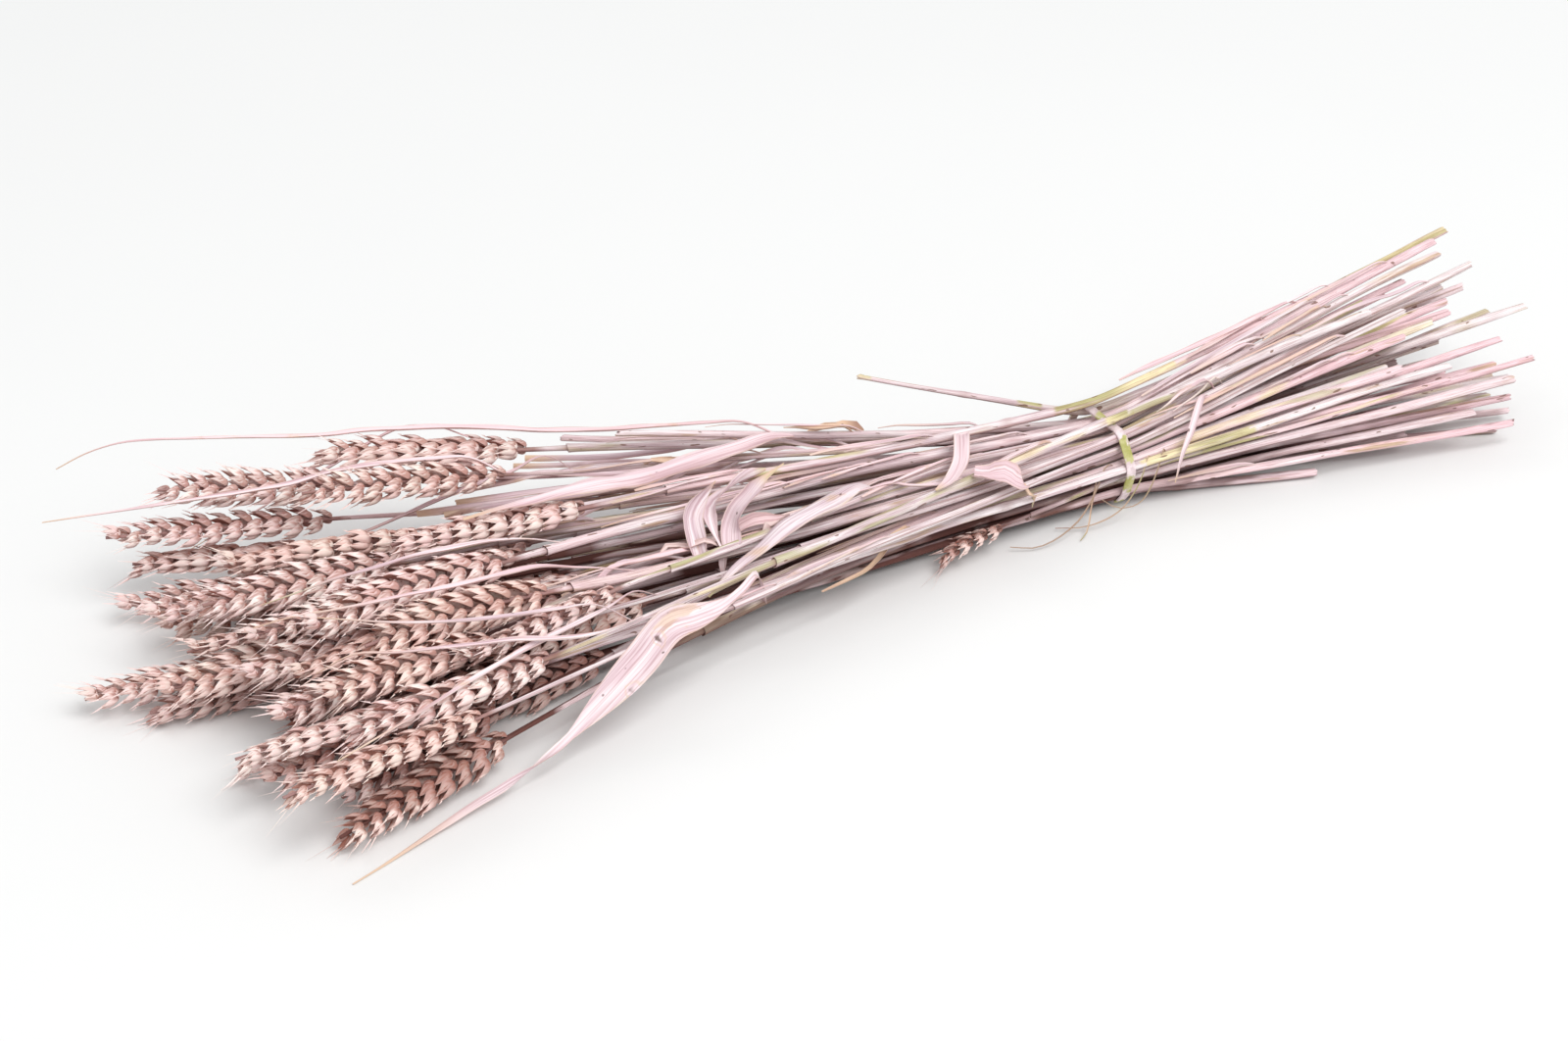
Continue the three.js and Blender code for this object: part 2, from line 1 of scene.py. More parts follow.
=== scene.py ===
# A bundle of dried wheat, sprayed pink, gathered by a green band and lying on a pale table.
# Every stalk is grown again along its plain CAD stalk: straw, sheath, ear, awns and leaf blades.
import math
import random
import bpy
import bmesh
import mathutils
import numpy as np
from mathutils import Matrix, Quaternion, Vector
from types import SimpleNamespace


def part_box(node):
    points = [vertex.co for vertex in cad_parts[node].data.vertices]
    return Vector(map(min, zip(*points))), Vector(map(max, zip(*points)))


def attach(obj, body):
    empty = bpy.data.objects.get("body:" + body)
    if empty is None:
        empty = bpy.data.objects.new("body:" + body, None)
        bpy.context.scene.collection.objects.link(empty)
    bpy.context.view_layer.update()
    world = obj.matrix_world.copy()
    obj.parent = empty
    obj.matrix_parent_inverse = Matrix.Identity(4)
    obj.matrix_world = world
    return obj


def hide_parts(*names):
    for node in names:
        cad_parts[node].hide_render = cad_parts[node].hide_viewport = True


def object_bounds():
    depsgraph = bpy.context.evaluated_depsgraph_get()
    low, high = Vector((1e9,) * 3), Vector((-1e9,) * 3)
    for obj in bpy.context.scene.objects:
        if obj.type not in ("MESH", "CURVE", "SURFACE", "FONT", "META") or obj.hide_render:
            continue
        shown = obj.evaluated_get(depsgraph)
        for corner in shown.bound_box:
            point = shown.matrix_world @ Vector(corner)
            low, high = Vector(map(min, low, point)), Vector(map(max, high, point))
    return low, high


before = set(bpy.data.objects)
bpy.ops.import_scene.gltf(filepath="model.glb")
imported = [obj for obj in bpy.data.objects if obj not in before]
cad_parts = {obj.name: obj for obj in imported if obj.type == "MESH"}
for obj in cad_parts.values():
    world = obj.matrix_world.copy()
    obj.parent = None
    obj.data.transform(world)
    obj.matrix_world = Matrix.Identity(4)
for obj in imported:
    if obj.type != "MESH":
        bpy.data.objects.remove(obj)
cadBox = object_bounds()
mm = 0.001
bandLow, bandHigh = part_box("band")
bandPlace = Vector(((bandLow.x + bandHigh.x) / 2, (bandLow.y + bandHigh.y) / 2, 0))
print("frame loaded, band at", [round(v, 4) for v in bandPlace])

# Camera, table and lights

cameraLook = {
    "place": (-0.6271, -0.9862, 0.7353),  # from the band
    "target": (-0.1397, 0.0357, 0.0),
    "lens": 70,
}


def makeCamera():
    data = bpy.data.cameras.new("camera")
    data.lens = cameraLook["lens"]
    camera = addObject("camera", data)
    place = bandPlace + Vector(cameraLook["place"])
    target = bandPlace + Vector(cameraLook["target"])
    camera.location = place
    camera.rotation_euler = (target - place).to_track_quat("-Z", "Y").to_euler()
    bpy.context.scene.camera = camera
    bpy.context.scene.view_settings.view_transform = "Standard"


tableLook = {"halfSize": 6}


def makeTable():
    bm = bmesh.new()
    bmesh.ops.create_grid(bm, x_segments=1, y_segments=1, size=tableLook["halfSize"])
    meshObject("table", bm, [tableMaterial()])


lightLook = {
    "skyColor": (0.985, 0.99, 1.0),
    "skyStrength": 0.63,
    "lamps": [  # name, place, size, power, colour
        ("softLamp", (0.5, -2.0, 3.3), 2.4, 104, (1.0, 0.995, 0.99)),
        ("backLamp", (-1.2, 2.4, 3.0), 1.6, 14, (1.0, 0.99, 0.98)),
    ],
}


def makeLights():
    world = bpy.data.worlds.new("sky")
    bpy.context.scene.world = world
    world.use_nodes = True
    background = world.node_tree.nodes["Background"]
    background.inputs["Color"].default_value = (*lightLook["skyColor"], 1)
    background.inputs["Strength"].default_value = lightLook["skyStrength"]
    for name, place, size, power, color in lightLook["lamps"]:
        data = bpy.data.lights.new(name, "AREA")
        data.size = size
        data.energy = power
        data.color = color
        lamp = addObject(name, data)
        lamp.location = place
        lamp.rotation_euler = (-Vector(place)).to_track_quat("-Z", "Y").to_euler()


# Meshes

def meshOf(name, bm):
    mesh = bpy.data.meshes.new(name)
    bm.to_mesh(mesh)
    bm.free()
    return mesh


def addObject(name, data):
    obj = bpy.data.objects.new(name, data)
    bpy.context.scene.collection.objects.link(obj)
    return obj


def meshObject(name, bm, materials):
    mesh = meshOf(name, bm)
    for material in materials:
        mesh.materials.append(material)
    return addObject(name, mesh)


# Materials

class Nodes:
    # The nodes of a material or of a group

    def __init__(self, tree):
        self.tree = tree

    def fill(self, node, sockets):
        # Sets sockets to a number, a vector or a colour, or links them
        for key, value in sockets.items():
            socket = node.inputs[key]
            if isinstance(value, bpy.types.NodeSocket):
                self.tree.links.new(value, socket)
            else:
                socket.default_value = (*value, 1) if socket.type == "RGBA" else value

    def new(self, kind, sockets):
        node = self.tree.nodes.new("ShaderNode" + kind)
        self.fill(node, sockets)
        return node

    def math(self, operation, a, b):
        node = self.new("Math", {0: a, 1: b})
        node.operation = operation
        return node.outputs[0]

    def times(self, a, b):
        return self.math("MULTIPLY", a, b)

    def mix(self, amount, a, b, blend="MIX"):
        node = self.tree.nodes.new("ShaderNodeMix")
        node.data_type = "RGBA"
        node.blend_type = blend
        self.fill(node, {0: amount, 6: a, 7: b})
        return node.outputs[2]

    def ramp(self, factor, none, full):
        # Smoothly from 0 to 1 as the factor goes from one value to the other, which may be the lower
        if none > full:
            return self.math("SUBTRACT", 1.0, self.ramp(factor, full, none))
        node = self.new("MapRange", {"Value": factor, "From Min": none, "From Max": full})
        node.interpolation_type = "SMOOTHSTEP"
        return node.outputs["Result"]

    def noise(self, vector, scale, detail, roughness=0.55):
        sockets = {"Vector": vector, "Scale": scale, "Detail": detail, "Roughness": roughness}
        return self.new("TexNoise", sockets).outputs["Fac"]


def makeSprayGroup():
    # Uneven spray paint: how much of the bare straw shows through, from 0 to 1, and the paint's fine grain
    group = bpy.data.node_groups.new("unevenSpray", "ShaderNodeTree")
    for name, way, kind in (
        ("Vector", "INPUT", "Vector"),
        ("Patch Scale", "INPUT", "Float"),
        ("Cover", "INPUT", "Float"),
        ("Bare", "OUTPUT", "Float"),
        ("Grain", "OUTPUT", "Float"),
    ):
        group.interface.new_socket(name, in_out=way, socket_type="NodeSocket" + kind)
    nodes = Nodes(group)
    given = group.nodes.new("NodeGroupInput").outputs
    result = group.nodes.new("NodeGroupOutput")
    patches = nodes.noise(given["Vector"], given["Patch Scale"], 4, 0.6)
    bare = nodes.ramp(nodes.math("SUBTRACT", patches, given["Cover"]), 0.0, 0.09)
    nodes.fill(result, {"Bare": bare, "Grain": nodes.noise(given["Vector"], 2600, 2)})
    return group


sprayGroup = makeSprayGroup()


class Paint(Nodes):
    # A material whose colour is built up coat by coat

    def __init__(self, name, roughness, shine=0.5):
        self.material = bpy.data.materials.new(name)
        self.material.use_nodes = True
        super().__init__(self.material.node_tree)
        self.shader = self.tree.nodes["Principled BSDF"]
        self.fill(self.shader, {"Roughness": roughness, "Specular IOR Level": shine})

    def attribute(self, name):
        node = self.new("Attribute", {})
        node.attribute_name = name
        return node.outputs

    def shade(self):
        # The mesh's own marks. Red runs along the piece from its root or cut end, and blue is its tint.
        # Green marks the hollows of straws and ears, where painted shade goes, and the edges and spots of
        # leaves. Alpha is how green a straw is, how brown an ear is and how dry a leaf is.
        shade = self.attribute("shade")
        split = self.new("SeparateColor", {"Color": shade["Color"]}).outputs
        return split["Red"], split["Green"], split["Blue"], shade["Alpha"]

    def grain(self, along=None):
        # The mesh's own place in metres: X runs along the fibres, Y across them, and Z sets each piece apart
        place = self.attribute("grain")["Vector"]
        if along is None:
            return place
        return self.new("Mapping", {"Vector": place, "Scale": (along, 1, 1)}).outputs["Vector"]

    def noises(self, rows):
        # A row gives a noise's scale along the fibres, its scale and its detail
        return [self.noise(self.grain(along), scale, detail) for along, scale, detail in rows.values()]

    def here(self):
        return self.new("TexCoord", {}).outputs["Object"]

    def spray(self, vector, patchScale, paint):
        node = self.tree.nodes.new("ShaderNodeGroup")
        node.node_tree = sprayGroup
        self.fill(node, {"Vector": vector, "Patch Scale": patchScale, "Cover": paint})
        return node.outputs["Bare"], node.outputs["Grain"]

    def coat(self, over, amount, *limits, blend="MIX"):
        # Lays on a colour, or a pair of a colour and its strength, by an amount or by a ramp between limits
        if limits:
            amount = self.ramp(amount, *limits)
        if len(over) == 2:
            over, strength = over
            amount = self.times(amount, strength)
        self.color = self.mix(amount, self.color, over, blend)

    def paintShade(self, over):
        # Painted shade: what lies deep in the pile or faces the table is darkened
        normal = self.new("NewGeometry", {}).outputs["Normal"]
        up = self.new("SeparateXYZ", {"Vector": normal}).outputs["Z"]
        down = self.ramp(self.times(up, -1.0), 0.1, 1.0)
        self.coat(over, self.math("MAXIMUM", self.attribute("paintedShade")["Fac"], self.times(down, 0.6)))

    def finish(self, height, strength, distance=0.0004):
        self.fill(self.shader, {"Base Color": self.color})
        if height is not None:
            bump = self.new("Bump", {"Strength": strength, "Distance": distance, "Height": height})
            self.fill(self.shader, {"Normal": bump.outputs["Normal"]})
        return self.material


# In these, a pair is a colour and how strongly it covers what is under it
strawPaint = {
    "pale": (0.98, 0.93, 0.93),
    "lilac": (0.69, 0.55, 0.58),
    "pink": (0.95, 0.75, 0.77),
    "cutEnd": (0.97, 0.67, 0.72),
    "cutStrength": 0.7,
    "bare": ((0.60, 0.42, 0.25), 0.75),
    "green": (0.46, 0.44, 0.15),
    "cream": (0.93, 0.84, 0.48),
    "missedStrength": 0.85,
    "speck": ((0.25, 0.14, 0.10), 0.85),
    "fibre": (0.70, 0.59, 0.59),
    "mouth": ((0.34, 0.17, 0.15), 0.85),
    "seam": ((0.34, 0.17, 0.15), 0.7),
    "seamWidth": 0.0011,
    # Painted shade, laid deep in the pile and on the undersides
    "paintedShade": (0.15, 0.062, 0.052),
}
strawNoises = {
    "fibres": (0.03, 2600, 2),
    "streaks": (0.04, 520, 3),
    "tone": (0.25, 60, 3),
    "patches": (0.2, 90, 2),
    "missed": (0.3, 30, 1),
    "specks": (0.4, 330, 1),
}


def strawMaterial():
    look = strawPaint
    paint = Paint("paintedStraw", 0.82, 0.25)
    along, mark, tint, greenness = paint.shade()
    fibres, streaks, tone, patches, missed, specks = paint.noises(strawNoises)
    paint.color = look["lilac"]
    paint.coat(look["pale"], streaks, 0.38, 0.62)
    paint.coat(look["pink"], paint.times(paint.ramp(tone, 0.36, 0.6), paint.ramp(tint, -0.3, 1.0)))
    # The paint lies thicker near the cut ends, and this coat also lightens them as painted light
    nearCut = paint.ramp(along, 0.3, 0.0)
    cutPaintAndLight = paint.mix(paint.ramp(tint, 0.2, 0.9), look["pale"], look["cutEnd"])
    paint.coat((cutPaintAndLight, look["cutStrength"]), nearCut)
    bare, speckle = paint.spray(paint.grain(0.12), 170, 0.58)
    paint.coat(look["bare"], bare)
    # Where the paint missed, some straws are olive and some cream
    greenish = paint.times(paint.ramp(patches, 0.5, 0.6), paint.ramp(greenness, 0.2, 0.9))
    marked = paint.times(paint.ramp(greenness, 1.1, 1.6), paint.ramp(streaks, 0.3, 0.5))
    unpainted = paint.mix(paint.ramp(missed, 0.48, 0.56), look["green"], look["cream"])
    paint.coat((unpainted, look["missedStrength"]), paint.math("MAXIMUM", greenish, marked))
    paint.coat(look["speck"], specks, 0.7, 0.74)
    paint.coat(look["fibre"], fibres, 0.6, 0.3, blend="MULTIPLY")
    # Painted shade in the sheath's mouth, on the neck inside the ear and at a broken end; it also darkens a
    # ring at the node
    paint.coat(look["mouth"], mark)
    # A line of shade along the sheath's seam
    fromSeam = paint.new("SeparateXYZ", {"Vector": paint.grain()}).outputs["Y"]
    paint.coat(look["seam"], fromSeam, look["seamWidth"], 0.0)
    # Painted shade deep in the pile and on the undersides, half as strong near the cut ends
    paint.paintShade((look["paintedShade"], paint.math("SUBTRACT", 1.0, paint.times(nearCut, 0.5))))
    height = paint.math("ADD", fibres, paint.times(streaks, 0.8))
    return paint.finish(paint.math("ADD", height, paint.times(speckle, 0.3)), 0.5)


earPaint = {
    "crest": (0.99, 0.82, 0.80),
    "cream": (0.99, 0.93, 0.88),
    "brown": ((0.88, 0.68, 0.54), 0.35),
    "tint": (0.99, 0.92, 0.94),
    "vein": (0.96, 0.87, 0.84),
    "tip": (0.88, 0.60, 0.54),
    # The last three are painted shade: at the bracts' roots, on their inner faces and deep in the pile
    "root": ((0.33, 0.08, 0.04), 0.88),
    "hollow": ((0.33, 0.08, 0.04), 0.8),
    "paintedShade": ((0.27, 0.075, 0.045), 0.5),
}
earNoises = {"mottle": (0.5, 260, 3), "veins": (0.06, 2400, 2)}


def earMaterial():
    look = earPaint
    paint = Paint("paintedEar", 0.8, 0.1)
    along, hollow, tint, tone = paint.shade()
    mottle, veins = paint.noises(earNoises)
    paint.color = look["crest"]
    paint.coat(look["cream"], mottle, 0.38, 0.62)
    paint.coat(look["brown"], tone, 0.35, 1.0)
    paint.coat(look["tint"], tint, 0.0, 1.0, blend="MULTIPLY")
    paint.coat(look["vein"], veins, 0.6, 0.3, blend="MULTIPLY")
    paint.coat(look["tip"], along, 0.78, 1.0)
    # Painted shade at the bracts' roots, on their hollow inner faces, on the deeper bracts and deep in the
    # pile
    paint.coat(look["root"], along, 0.27, 0.02)
    paint.coat(look["hollow"], hollow)
    paint.paintShade(look["paintedShade"])
    return paint.finish(paint.math("ADD", veins, paint.times(mottle, 0.5)), 0.4)


leafPaint = {
    "pale": (0.95, 0.87, 0.89),
    "lilac": (0.70, 0.56, 0.61),
    "pink": ((0.93, 0.68, 0.71), 0.7),
    "bare": ((0.74, 0.53, 0.35), 0.6),
    "olive": (0.50, 0.46, 0.18),
    "dryStrength": 0.85,
    "dryRim": 0.4,
    "rib": (0.72, 0.61, 0.62),
    "spot": ((0.16, 0.10, 0.09), 0.9),
    # Painted shade deep in the pile and on the undersides
    "paintedShade": ((0.32, 0.16, 0.13), 0.7),
}
leafNoises = {"ribs": (0.015, 1500, 2), "streaks": (0.05, 420, 3), "specks": (0.6, 300, 1)}


def leafMaterial():
    look = leafPaint
    paint = Paint("paintedLeaf", 0.8, 0.25)
    along, edge, tint, dryness = paint.shade()
    ribs, streaks, specks = paint.noises(leafNoises)
    paint.color = look["lilac"]
    paint.coat(look["pale"], streaks, 0.36, 0.62)
    paint.coat(look["pink"], tint)
    bare, speckle = paint.spray(paint.grain(0.3), 110, 0.6)
    paint.coat(look["bare"], bare)
    paint.coat(look["rib"], ribs, 0.6, 0.3, blend="MULTIPLY")
    # The edge is marked 1, and a spot more
    rim = paint.math("SUBTRACT", paint.ramp(edge, 0.82, 1.0), paint.ramp(edge, 1.1, 1.3))
    dry = paint.math("MAXIMUM", dryness, paint.times(rim, look["dryRim"]))
    dried = paint.mix(paint.ramp(streaks, 0.55, 0.66), look["bare"][0], look["olive"])
    paint.coat((dried, look["dryStrength"]), dry)
    spots = paint.math("MAXIMUM", paint.ramp(specks, 0.75, 0.8), paint.ramp(edge, 1.4, 1.8))
    paint.coat(look["spot"], spots)
    # Painted shade deep in the pile and on the undersides
    paint.paintShade(look["paintedShade"])
    return paint.finish(paint.math("ADD", ribs, paint.times(speckle, 0.4)), 0.45)


bandPaint = {
    "green": ((0.40, 0.39, 0.10), (0.56, 0.53, 0.24)),
    "pink": ((0.86, 0.72, 0.74), (0.68, 0.54, 0.56)),
}


def bandMaterial():
    paint = Paint("greenBand", 0.6)
    bare, grain = paint.spray(paint.here(), 95, 0.5)
    tone = paint.noise(paint.here(), 240, 3)
    pink = paint.mix(paint.ramp(tone, 0.4, 0.6), *bandPaint["pink"])
    green = paint.mix(paint.ramp(tone, 0.35, 0.65), *bandPaint["green"])
    paint.color = paint.mix(paint.math("SUBTRACT", 1.0, bare), green, pink)
    return paint.finish(grain, 0.3, 0.0003)


tableTones = ((0.825, 0.83, 0.825), (0.845, 0.85, 0.845))


def tableMaterial():
    paint = Paint("paleTable", 0.9, 0.1)
    paint.color = paint.mix(paint.noise(paint.here(), 3, 2), *tableTones)
    return paint.finish(None, 0)


materials = [strawMaterial(), earMaterial(), leafMaterial(), bandMaterial()]
strawSlot, earSlot, leafSlot, bandSlot = range(4)
makeCamera()
makeLights()
makeTable()
print("camera, lights, table and materials made")

# Reading the plain stalks: where each one's middle line runs, how thick it is and how its ear is turned

stalkRead = {
    "station": 80 * mm,
    "steps": (2, 1, 0, -1, -2, -3, -4, -5, -6),  # stations along X from the band where a straw has a ring
    "stationReach": 1 * mm,
    "cutMargin": 14 * mm,  # no station lies nearer to the cut end than this
    "ringSides": 5,
    "ringReach": 3.2 * mm,
    "roundness": 0.85,  # a ring's least radius, of its greatest
    "sheathRadius": 2.25 * mm,  # of a stalk of ordinary thickness
    "neckRadius": 1.15 * mm,
    "bareRadius": 1.5 * mm,
    "sheathShare": 0.9,  # a ring with more than this share of the waist's radius is round the sheath
    "sheathRoom": (8 * mm, 90 * mm),  # how near the sheath's end comes to the ear and to the band
    "sheathLeft": (14 * mm, 20 * mm),  # where it ends if no ring tells: before the ear, or past a broken end
    "earHalfWidth": 6.9 * mm,
    "earOverlap": 6 * mm,  # an ear starts farther than this past the straw's last ring
    "earGap": 8 * mm,
    "earReaches": (16 * mm, 11 * mm, 8.2 * mm, 8.2 * mm),  # how far its points may be from each fitted curve
    "earShares": (0.12, 0.5, 1.0),  # where along the ear the stalk's line follows that curve
    "neckLength": 3 * mm,
    "fewestEarPoints": 40,
    "spacing": 1 * mm,  # of the samples along a stalk
    "beyond": 20 * mm,  # how far they go on past its ends
    "smoothing": 9 * mm,
    "kernelReach": 18,
    "slopeReach": 4 * mm,
}


def clustersOf(places, reach):
    left = list(range(len(places)))
    groups = []
    while left:
        group = [left.pop()]
        for i in group:
            near = [j for j in left if np.linalg.norm(places[j] - places[i]) < reach]
            group += near
            left = [j for j in left if j not in near]
        groups.append(places[group])
    return groups


def ringsOf(places):
    # Clusters of points round a straw, each with its middle, its radius and how many points it has
    sides = stalkRead["ringSides"]
    rings = []
    for group in clustersOf(places, stalkRead["ringReach"]):
        if len(group) not in (sides, sides + 1):
            continue
        middle = group.mean(axis=0)
        radii = np.sort(np.linalg.norm(group - middle, axis=1))[-sides:]
        if radii[0] > stalkRead["roundness"] * radii[-1]:
            rings.append((middle, radii[-1], len(group)))
    return sorted(rings, key=lambda ring: -ring[0][0])


def findEar(places, strawEnd):
    # Fits a gentle curve through the ear's points, and drops what is too far from it, such as a leaf
    beyond = places[places[:, 0] < strawEnd]
    points = max(clustersOf(beyond, stalkRead["earGap"]), key=len, default=())
    if len(points) < stalkRead["fewestEarPoints"]:
        return None
    for reach in stalkRead["earReaches"]:
        xs = points[:, 0]
        fits = [np.polyfit(xs, points[:, way], 2) for way in (1, 2)]
        curve = np.stack([np.polyval(fit, xs) for fit in fits], axis=1)
        offsets = points[:, 1:] - curve
        kept = np.hypot(*offsets.T) < reach
        points, offsets = points[kept], offsets[kept]
    side = np.linalg.eigh(offsets.T @ offsets)[1][:, 1]
    return points[:, 0].min(), points[:, 0].max(), fits, side


def roundedLine(xs, knots):
    # The line through the knots, which goes straight on past the last ones, with its corners rounded off
    reach = stalkRead["kernelReach"]
    kernel = np.exp(-0.5 * (np.arange(-reach, reach + 1) / (stalkRead["smoothing"] / mm)) ** 2)
    ends = (
        (xs < knots[0, 0], knots[0], knots[1] - knots[0]),
        (xs > knots[-1, 0], knots[-1], knots[-1] - knots[-2]),
    )
    line = np.empty((len(xs), 2))
    for way in (1, 2):
        values = np.interp(xs, knots[:, 0], knots[:, way])
        for outside, knot, slope in ends:
            values[outside] = knot[way] + (xs[outside] - knot[0]) * slope[way] / slope[0]
        padded = np.pad(values, reach, mode="reflect", reflect_type="odd")
        line[:, way - 1] = np.convolve(padded, kernel / kernel.sum(), mode="valid")
    return line


def readStalk(name):
    look = stalkRead
    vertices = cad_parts[name].data.vertices
    flat = np.empty(len(vertices) * 3)
    vertices.foreach_get("co", flat)
    places = np.unique(flat.reshape(-1, 3).round(6), axis=0)
    rings = ringsOf(places)
    cutX = places[:, 0].max()
    stations = [bandPlace.x + step * look["station"] for step in look["steps"]]
    knots = [rings[0][0]]
    waistRadius = look["sheathRadius"]
    for x in stations:
        if x > cutX - look["cutMargin"]:
            continue
        here = [ring for ring in rings if abs(ring[0][0] - x) < look["stationReach"]]
        if not here:
            break
        knots.append(here[0][0])
        if x == bandPlace.x:
            waistRadius = here[0][1]
    lastX = knots[-1][0]
    earSide = None
    found = findEar(places, lastX - look["earOverlap"])
    if found:
        tipX, baseX, fits, side = found
        earSide = Vector((0, *side))
        for share in look["earShares"]:
            x = baseX + (tipX - baseX) * share
            knots.append(np.array((x, *(np.polyval(fit, x) for fit in fits))))
        endX = baseX + look["neckLength"]
        sheathX = endX + look["sheathLeft"][0]
    else:
        ends = [ring for ring in rings if ring[2] > look["ringSides"] and ring[0][0] < lastX]
        if ends:
            knots.append(ends[-1][0])
        tipX = endX = knots[-1][0]
        sheathX = endX - look["sheathLeft"][1]
    low, high = endX + look["sheathRoom"][0], bandPlace.x - look["sheathRoom"][1]
    thick = [
        middle[0] for middle, radius, count in rings
        if count == look["ringSides"] and radius > look["sheathShare"] * waistRadius
        and low < middle[0] < high and all(abs(middle[0] - x) > 2 * look["stationReach"] for x in stations)
    ]
    xs = np.arange(tipX - look["beyond"], cutX + look["beyond"], look["spacing"])
    return SimpleNamespace(
        name=name, cutX=cutX, endX=endX, tipX=tipX, sheathX=min(thick, default=sheathX),
        earSide=earSide, xs=xs, line=roundedLine(xs, np.array(sorted(knots, key=lambda knot: knot[0]))),
        thickness=waistRadius / look["sheathRadius"],
    )


def lineAt(stalk, x):
    last = len(stalk.line) - 1
    share = min(max((x - stalk.xs[0]) / stalkRead["spacing"], 0), last)
    i = min(int(share), last - 1)
    y, z = stalk.line[i] + (stalk.line[i + 1] - stalk.line[i]) * (share - i)
    return Vector((x, y, z))


def alongAt(stalk, x):
    reach = stalkRead["slopeReach"]
    return (lineAt(stalk, x - reach) - lineAt(stalk, x + reach)).normalized()


stalkNames = sorted(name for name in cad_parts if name.startswith("stalk"))
stalks = [readStalk(name) for name in stalkNames]
print("read", len(stalks), "stalks,", sum(1 for stalk in stalks if stalk.earSide), "with ears")


# How far a stalk reaches, and the pile's upper side

def smooth(low, high, value):
    t = min(1, max(0, (value - low) / (high - low)))
    return t * t * (3 - 2 * t)


girthLook = {
    "margin": 3 * mm,  # past the ends of a stalk and of its ear
    "room": 1.04,  # of the ear's half width
    "swell": (-0.08, 0.16),  # shares of the ear's length
    "taper": (0.55, 1.05),
    "taperDepth": 0.72,
}


def girthAt(stalk, x):
    # The stalk's radius or its ear's half width at X, or 0 past its ends
    look = girthLook
    margin = look["margin"]
    if x < stalk.tipX - margin or x > stalk.cutX + margin:
        return 0
    if stalk.earSide:
        base = stalk.endX - margin
        u = (base - x) / (base - stalk.tipX)
        if u > -margin / (base - stalk.tipX):
            u = min(1, max(0.05, u))
            taper = 1 - look["taperDepth"] * smooth(*look["taper"], u)
            widest = look["room"] * stalkRead["earHalfWidth"] * stalk.thickness
            return widest * smooth(*look["swell"], u) * taper
    return stalk.thickness * stalkRead["sheathRadius" if x > stalk.sheathX else "bareRadius"]


def stalksAcross(x):
    # The middle and the radius of each stalk that reaches X
    for stalk in stalks:
        radius = girthAt(stalk, x)
        if radius:
            yield lineAt(stalk, x), radius


def topUnder(x, y, level, within):
    # The height of whatever lies uppermost near a place, of what has its underside below a level
    top = 0
    for place, radius in stalksAcross(x):
        beside = max(0, abs(place.y - y) - within)
        if beside < radius and place.z - radius <= level:
            top = max(top, place.z + math.sqrt(radius * radius - beside * beside))
    return top


pileLook = {"cell": 2 * mm, "shallow": 7 * mm, "deep": 25 * mm}


def makePile():
    # The pile's height over each cell of a level grid
    low, high = cadBox
    cell = pileLook["cell"]
    across = np.arange(low[1], high[1] + cell, cell)
    tops = np.zeros((int((high[0] - low[0]) / cell) + 2, len(across)))
    for i, row in enumerate(tops):
        for place, radius in stalksAcross(low[0] + i * cell):
            beside = np.abs(across - place.y)
            under = beside < radius
            row[under] = np.maximum(row[under], place.z + np.sqrt(radius**2 - beside[under] ** 2))
    return tops


pileTops = makePile()


def pileShadeShare(places):
    # How deep each place lies under the pile's upper side, from 0 to 1, which sets its painted shade
    i, j = (
        np.clip(np.rint((places[:, way] - cadBox[0][way]) / pileLook["cell"]).astype(int), 0, count - 1)
        for way, count in enumerate(pileTops.shape)
    )
    depth = pileTops[i, j] - places[:, 2]
    t = np.clip((depth - pileLook["shallow"]) / (pileLook["deep"] - pileLook["shallow"]), 0, 1)
    return t * t * (3 - 2 * t)


# Growing a tube ring by ring along a stalk

def sideOf(along):
    return Vector((0, 0, 1)).cross(along).normalized()


def basisOf(side, along):
    return Matrix((side, along.cross(side), along)).transposed().to_4x4()


def ringMatrix(stalk, x, radius, flatness, slant, turn):
    along = alongAt(stalk, x)
    place = Matrix.Translation(lineAt(stalk, x)) @ basisOf(sideOf(along), along)
    cut = Matrix.Rotation(turn, 4, "Z") @ Matrix.Rotation(slant, 4, "X") @ Matrix.Rotation(-turn, 4, "Z")
    return place @ cut @ Matrix.Diagonal((radius, radius * flatness, radius, 1))


def sweepRings(bm, matrices, sides, grain, ridges, phase):
    # A wrapped tube with low ridges along it, whose edge overlaps itself in a seam. Returns the rings of
    # vertices.
    look = strawLook
    ring = bmesh.ops.create_circle(bm, cap_ends=True, segments=sides, radius=1)["verts"]
    for i, vert in enumerate(ring):
        angle = look["wrap"] * i / (sides - 1)
        reach = 1 - look["overlap"] * i / (sides - 1)
        reach += look["ridge"] * math.sin(ridges * angle + phase)
        vert.co = (reach * math.cos(angle), reach * math.sin(angle), 0)
        vert[grain].y = look["girth"] * i / (sides - 1)
    bmesh.ops.transform(bm, matrix=matrices[0], verts=ring)
    edges = list({edge for vert in ring for edge in vert.link_edges})
    rings = [ring]
    for before, matrix in zip(matrices, matrices[1:]):
        made = bmesh.ops.extrude_edge_only(bm, edges=edges)["geom"]
        verts = [item for item in made if isinstance(item, bmesh.types.BMVert)]
        edges = [
            item for item in made
            if isinstance(item, bmesh.types.BMEdge) and all(vert in verts for vert in item.verts)
        ]
        bmesh.ops.transform(bm, matrix=matrix @ before.inverted(), verts=verts)
        rings.append(verts)
    bmesh.ops.contextual_create(bm, geom=edges)
    return rings


